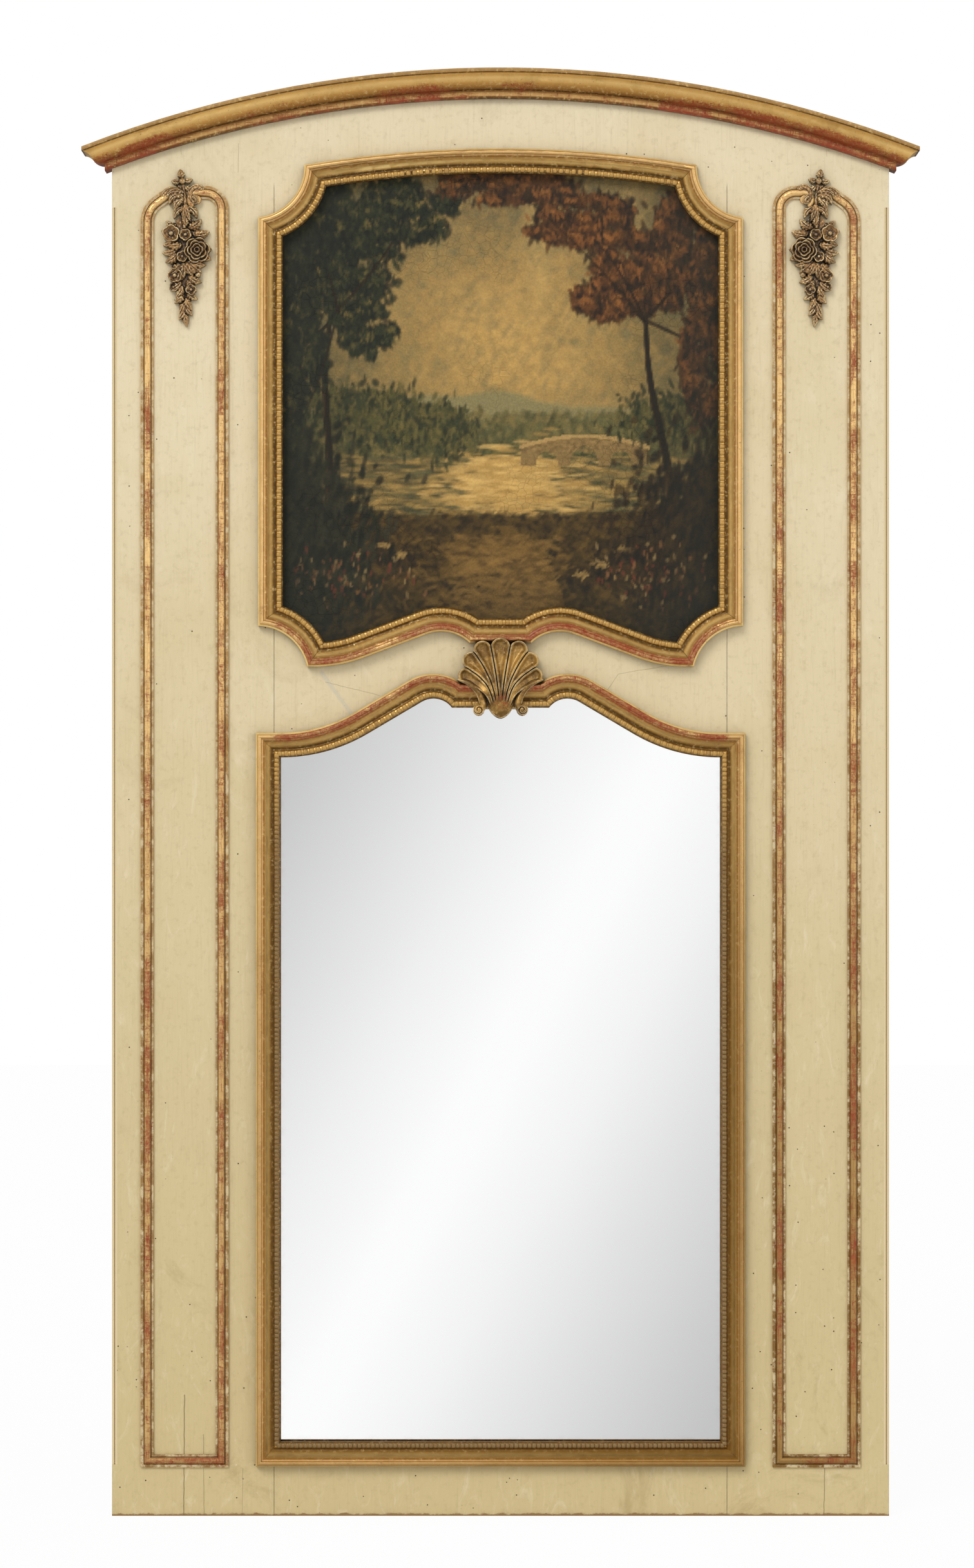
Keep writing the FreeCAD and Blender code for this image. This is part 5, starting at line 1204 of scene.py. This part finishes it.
# The two tall trees: trunk from and to, clumps of the crown (middle and reach), tones and lights
TREES = (
    (((-0.78, 0.16), (-0.70, 0.82)),
     [(-0.90, 0.62, 0.16, 0.14), (-0.68, 0.80, 0.22, 0.11), (-0.88, 0.90, 0.22, 0.11),
      (-0.40, 0.90, 0.22, 0.06), (-0.94, 0.40, 0.12, 0.12), (-0.58, 0.66, 0.12, 0.05)],
     ["#191E18", "#232A20", "#2F3626", "#424630"], ["#565436", "#6E663E", "#84744A"]),
    (((0.74, 0.18), (0.62, 0.80)),
     [(0.62, 0.78, 0.20, 0.08), (0.86, 0.84, 0.18, 0.12), (0.92, 0.60, 0.12, 0.14),
      (0.34, 0.88, 0.22, 0.05), (0.44, 0.72, 0.12, 0.04), (0.04, 0.955, 0.26, 0.035)],
     ["#2A2018", "#40301E", "#5E4024", "#7A5430"], ["#8A5E34", "#9C7040", "#70502E"]),
)


def paint_picture(columns, rows):
    """Dark trees frame a golden sky over hills, a lake, a stone bridge and a path."""
    p = Picture(columns, rows, settings().seed)
    s, t = p.s, p.t
    p.wash(np.ones(s.shape), "#8C7A50")
    p.wash((t - 0.66) / 0.40, "#4D5148")
    p.wash((np.abs(s - 0.05) - 0.30) / 0.7, "#565C48")
    glow = np.exp(-((s - 0.06) / 0.40) ** 2 - ((t - 0.62) / 0.20) ** 2)
    p.wash(glow * 0.95, "#C4A76C")
    for i, (tone, level) in enumerate((("#CDB37A", 0.25), ("#77745A", 0.45), ("#A88E5C", 0.25))):
        cloud = p.ripple(5.5 + i * 2, 11 + i) + p.ripple(13, 21 + i) * 0.5
        p.wash(np.clip(cloud - level, 0, 1) * np.clip((t - 0.5) * 4, 0, 1) * 0.45, tone)
    p.dabs(5000, strip_of(-0.9, 0.9, 0.50, 1.0), 0.030, 0.009,
           ["#B49A64", "#8E8158", "#6E7058", "#A88E5C"], 0.1, 0.5, 0.16)
    # three ranges of hills
    for level, tone, seed, reach in HILLS:
        ridge = level + reach * p.ripple(4.5, seed)
        p.wash((ridge - t) * 90, tone)
    p.dabs(2600, strip_of(-1, 1, 0.40, 0.49), 0.018, 0.008,
           ["#595C3E", "#74704A", "#3E432E", "#85784C"], 0.1, 0.5, 0.4)
    # the lake, which holds the sky's colours in level strokes
    p.wash((0.405 - t) * 60, "#6A6244")
    p.dabs(2600, strip_of(-0.70, 0.80, 0.26, 0.400), 0.050, 0.0045,
           ["#9C8654", "#6C6A4C", "#4C4E38", "#B0965E", "#3F4230"], 0, 0.04, 0.5)
    p.dabs(700, cloud_of(0.04, 0.345, 0.13, 0.035), 0.040, 0.004, ["#C9AE74", "#B4985F"], 0, 0.03, 0.6)
    # a stone bridge with three arches on the far shore
    deck = 0.440 - 0.30 * (s - 0.36) ** 2
    stone = (np.abs(s - 0.36) < 0.27) & (t < deck) & (t > 0.385)
    for centre, wide, high in ((0.20, 0.048, 0.030), (0.36, 0.062, 0.040), (0.52, 0.048, 0.030)):
        stone &= ((s - centre) / wide) ** 2 + ((t - 0.384) / high) ** 2 > 1
    p.wash(stone * 0.95, "#8A7650")
    p.dabs(700, lambda rng: (rng.uniform(0.09, 0.63), 0.436 - 0.30 * rng.uniform(-0.26, 0.26) ** 2 - 0.004),
           0.010, 0.003, ["#A89062", "#6E5C3C"], 0, 0.1, 0.25)
    p.wash(((np.abs(s - 0.36) < 0.28) & (t > deck) & (t < deck + 0.008)) * 0.9, "#B39A6A")
    # shores, meadow and path
    near = 0.285 + 0.018 * p.ripple(3.5, 31) + 0.05 * s ** 2
    p.wash((near - t) * 70, "#3B321C")
    p.dabs(7000, lambda rng: (rng.uniform(-1, 1), rng.uniform(-0.02, 0.285)), 0.022, 0.006,
           ["#4A3E22", "#332A16", "#5C4C28", "#2A2414", "#66532C"], 0.1, 0.4, 0.5)
    path = np.abs(s + 0.02 - 0.22 * np.sin((0.28 - t) * 9)) < 0.035 + 0.22 * (0.27 - t)
    p.wash((path & (t < 0.262)) * 0.45, "#7A6236")
    p.dabs(1300, lambda rng: (-0.02 + rng.normal(0, 0.12), rng.uniform(0.0, 0.24)), 0.030, 0.005,
           ["#7E663A", "#5E4C2A", "#8E7444"], 0.0, 0.2, 0.4)
    for rs, rt in ((-0.50, 0.21), (-0.42, 0.19), (0.44, 0.17), (0.54, 0.20), (0.36, 0.15)):
        p.dabs(90, cloud_of(rs, rt, 0.024, 0.010), 0.016, 0.008, ["#2A2416", "#443820"], 0.2, 0.4, 0.8)
        p.dabs(30, cloud_of(rs - 0.01, rt + 0.012, 0.015, 0.003), 0.009, 0.003,
               ["#84704A", "#9C8658"], 0.2, 0.3, 0.7)
    # small trees on the far shore, then the tall ones near by
    for centre, level, reach in FAR_TREES:
        p.dabs(900, cloud_of(centre, level, reach, 0.022), 0.014, 0.007,
               ["#3E4430", "#2E3424", "#565636", "#6A643E"], 0, 1)
    for tree in TREES:
        paint_tree(p, *tree)
    for side, tones in ((-1, ["#191C14", "#262A1C", "#38382A"]), (1, ["#1E1A12", "#302618", "#43361E"])):
        p.dabs(2600, cloud_of(side * 0.90, 0.22, 0.16, 0.09), 0.020, 0.010, tones, 0.8, 0.7)
        p.dabs(90, cloud_of(side * 0.66, 0.16, 0.12, 0.03), 0.008, 0.005,
               ["#8E6A48", "#A08C64", "#7E4432"], share=0.6)
    corner = np.clip((np.abs(s) - 0.42) / 0.55, 0, 1) ** 1.4 + np.clip((t - 0.86) / 0.24, 0, 1) ** 1.4
    corner = corner + np.clip((0.20 - t) / 0.28, 0, 1)
    p.wash(corner * 0.62, "#2B2E27")
    # old varnish deepens and warms the whole
    p.colour = p.colour ** 1.10 * (1.06, 0.96, 0.80)
    return p


def picture_mesh():
    """A thin closed sheet: the picture's grid in front and plain linen behind."""
    low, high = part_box("painting_canvas")
    columns, rows = CANVAS_GRID
    picture = paint_picture(columns, rows)
    x = np.linspace(low.x, high.x, columns)
    z = np.linspace(low.z, high.z, rows)
    gx, gz = np.meshgrid(x, z)
    count = gx.size
    front = np.column_stack([gx.ravel(), np.full(count, low.y), gz.ravel()])
    index = np.arange(count).reshape(rows, columns)
    rim = np.concatenate([index[0], index[1:, -1], index[-1, -2::-1], index[-2:0:-1, 0]]).tolist()
    back = front[rim].copy()
    back[:, 1] = high.y
    corners = [index[:-1, :-1], index[:-1, 1:], index[1:, 1:], index[1:, :-1]]
    faces = np.stack(corners, axis=-1).reshape(-1, 4).tolist()
    size = len(rim)
    for i in range(size):
        j = (i + 1) % size
        faces.append([rim[j], rim[i], count + i, count + j])
    faces.append([count + i for i in range(size - 1, -1, -1)])
    mesh = bpy.data.meshes.new("painted_canvas")
    mesh.from_pydata(np.vstack([front, back]).tolist(), [], faces)
    colours = np.ones((count + size, 4))
    colours[:count, :3] = picture.colour.reshape(-1, 3)
    colours[count:, :3] = ink("#8C7650")
    layer = mesh.color_attributes.new("picture", "FLOAT_COLOR", "POINT")
    layer.data.foreach_set("color", colours.ravel())
    mesh.update()
    return mesh


class TRUMEAU_OT_picture(bpy.types.Operator):
    """The painted canvas above the mirror"""

    bl_idname = "trumeau.picture"
    bl_label = "Picture"

    def execute(self, context):
        add_piece("painted_picture", picture_mesh(), material("painted_canvas"),
                  ["painting_canvas"])
        return {"FINISHED"}


# Floor, light and camera


# What the object's gloss sees: grey levels (place, level) along one direction, and where they start
ROOM_WAY, ROOM_OFFSET = (6.57, 0, -3.615), 0.262
ROOM_TONES = ((0.0, 0.585), (0.15, 0.735), (0.30, 0.885), (0.45, 1.0), (0.50, 1.0), (0.62, 0.92),
              (0.75, 0.79), (1.0, 0.56))
WHITE, SOFT_LIGHT = (1, 1, 1), (0.64, 0.64, 0.645)
FLOOR_HALF, FLOOR_TONE, FLOOR_WHITENESS = 12.0, (0.86, 0.86, 0.86), 0.95
# Suns: name, way of their light, strength and softness in degrees
LAMPS = (("key", (0.45, 1.0, -0.75), 1.25, 25), ("fill", (-0.7, 1.0, -0.2), 0.35, 40))
SENSOR = 36


def room_light():
    """White to the camera, plain soft light on the object, and a grey and white room to its gloss."""
    world = bpy.data.worlds.new("room")
    world.use_nodes = True
    world.node_tree.nodes.clear()
    n = Nodes(world.node_tree)
    way = n.add("ShaderNodeTexCoord").outputs["Generated"]
    across, along, _ = n.add("ShaderNodeSeparateXYZ", way).outputs
    room = n.ramp(n.calc("ADD", n.vector("DOT_PRODUCT", way, ROOM_WAY), ROOM_OFFSET), ROOM_TONES)
    room = n.blend(n.between(n.calc("ABSOLUTE", across), 0.10, 0.55), room, WHITE)
    room = n.scaled(room, n.between(along, 0.0, 0.5, 1.0, 0.3))
    paths = n.add("ShaderNodeLightPath").outputs
    light = n.blend(paths["Is Glossy Ray"], SOFT_LIGHT, room)
    seen = n.blend(paths["Is Camera Ray"], light, WHITE)
    n.add("ShaderNodeOutputWorld", n.add("ShaderNodeBackground", seen).outputs[0])
    bpy.context.scene.world = world


def pale_floor():
    """A wide white floor that keeps a faint shadow of the object and is clear to its gloss."""
    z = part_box("bottom_rail")[0].z
    corners = [(x * FLOOR_HALF, y * FLOOR_HALF, z) for x, y in ((-1, -1), (1, -1), (1, 1), (-1, 1))]
    mesh = bpy.data.meshes.new("floor")
    mesh.from_pydata(corners, [], [(0, 1, 2, 3)])
    look = bpy.data.materials.new("floor_white")
    look.use_nodes = True
    n = Nodes(look.node_tree)
    shader = n.tree.nodes["Principled BSDF"]
    for name, value in (("Base Color", FLOOR_TONE), ("Roughness", 0.9), ("Specular IOR Level", 0.0)):
        n.put(shader.inputs[name], value)
    paths = n.add("ShaderNodeLightPath").outputs
    white = n.add("ShaderNodeEmission").outputs[0]
    clear = n.add("ShaderNodeBsdfTransparent").outputs[0]
    share = n.calc("MULTIPLY", paths["Is Camera Ray"], FLOOR_WHITENESS)
    seen = n.add("ShaderNodeMixShader", share, shader.outputs[0], white).outputs[0]
    seen = n.add("ShaderNodeMixShader", paths["Is Glossy Ray"], seen, clear).outputs[0]
    n.put(n.tree.nodes["Material Output"].inputs["Surface"], seen)
    mesh.materials.append(look)
    return show("floor", mesh)


def lamp(name, towards, strength, softness):
    data = bpy.data.lights.new(name, "SUN")
    data.energy = strength
    data.angle = math.radians(softness)
    show(name, data).rotation_euler = Vector(towards).to_track_quat("-Z", "Y").to_euler()


def photo_camera():
    """Level with the picture's middle, far back, so that the board fills the photograph's frame."""
    data = bpy.data.cameras.new("camera")
    distance = settings().camera_distance
    data.sensor_fit = "VERTICAL"
    data.sensor_height = SENSOR
    data.sensor_width = SENSOR
    data.lens = SENSOR * distance / (PHOTO_HEIGHT * METRES_PER_PIXEL)
    data.clip_end = 100
    camera = show("camera", data)
    x = (PHOTO_WIDTH / 2 - MIDDLE_PX) * METRES_PER_PIXEL
    z = (FOOT_PX - PHOTO_HEIGHT / 2) * METRES_PER_PIXEL
    camera.location = (x, FACE - distance, z)
    camera.rotation_euler = (math.pi / 2, 0, 0)
    bpy.context.scene.camera = camera


class TRUMEAU_OT_stage(bpy.types.Operator):
    """Floor, light and camera"""

    bl_idname = "trumeau.stage"
    bl_label = "Stage"

    def execute(self, context):
        room_light()
        pale_floor()
        for sun in LAMPS:
            lamp(*sun)
        photo_camera()
        context.scene.view_settings.view_transform = "Standard"
        return {"FINISHED"}


OPERATORS = (
    TRUMEAU_OT_finishes,
    TRUMEAU_OT_beads,
    TRUMEAU_OT_shell,
    TRUMEAU_OT_drops,
    TRUMEAU_OT_picture,
    TRUMEAU_OT_stage,
)


class TRUMEAU_PT_panel(bpy.types.Panel):
    """Every step of the mirror, in order"""

    bl_idname = "TRUMEAU_PT_panel"
    bl_label = "Trumeau mirror"
    bl_space_type = "VIEW_3D"
    bl_region_type = "UI"
    bl_category = "Trumeau"

    def draw(self, context):
        for name in TrumeauSettings.__annotations__:
            self.layout.prop(context.scene.trumeau, name)
        for operator in OPERATORS:
            self.layout.operator(operator.bl_idname)


CLASSES = (TrumeauSettings, *OPERATORS, TRUMEAU_PT_panel)


def register():
    for cls in CLASSES:
        bpy.utils.register_class(cls)
    bpy.types.Scene.trumeau = PointerProperty(type=TrumeauSettings)


def unregister():
    del bpy.types.Scene.trumeau
    for cls in reversed(CLASSES):
        bpy.utils.unregister_class(cls)


def main():
    register()
    bpy.ops.trumeau.finishes()
    bpy.ops.trumeau.beads()
    bpy.ops.trumeau.shell()
    bpy.ops.trumeau.drops()
    bpy.ops.trumeau.picture()
    bpy.ops.trumeau.stage()


if __name__ == "__main__":
    main()
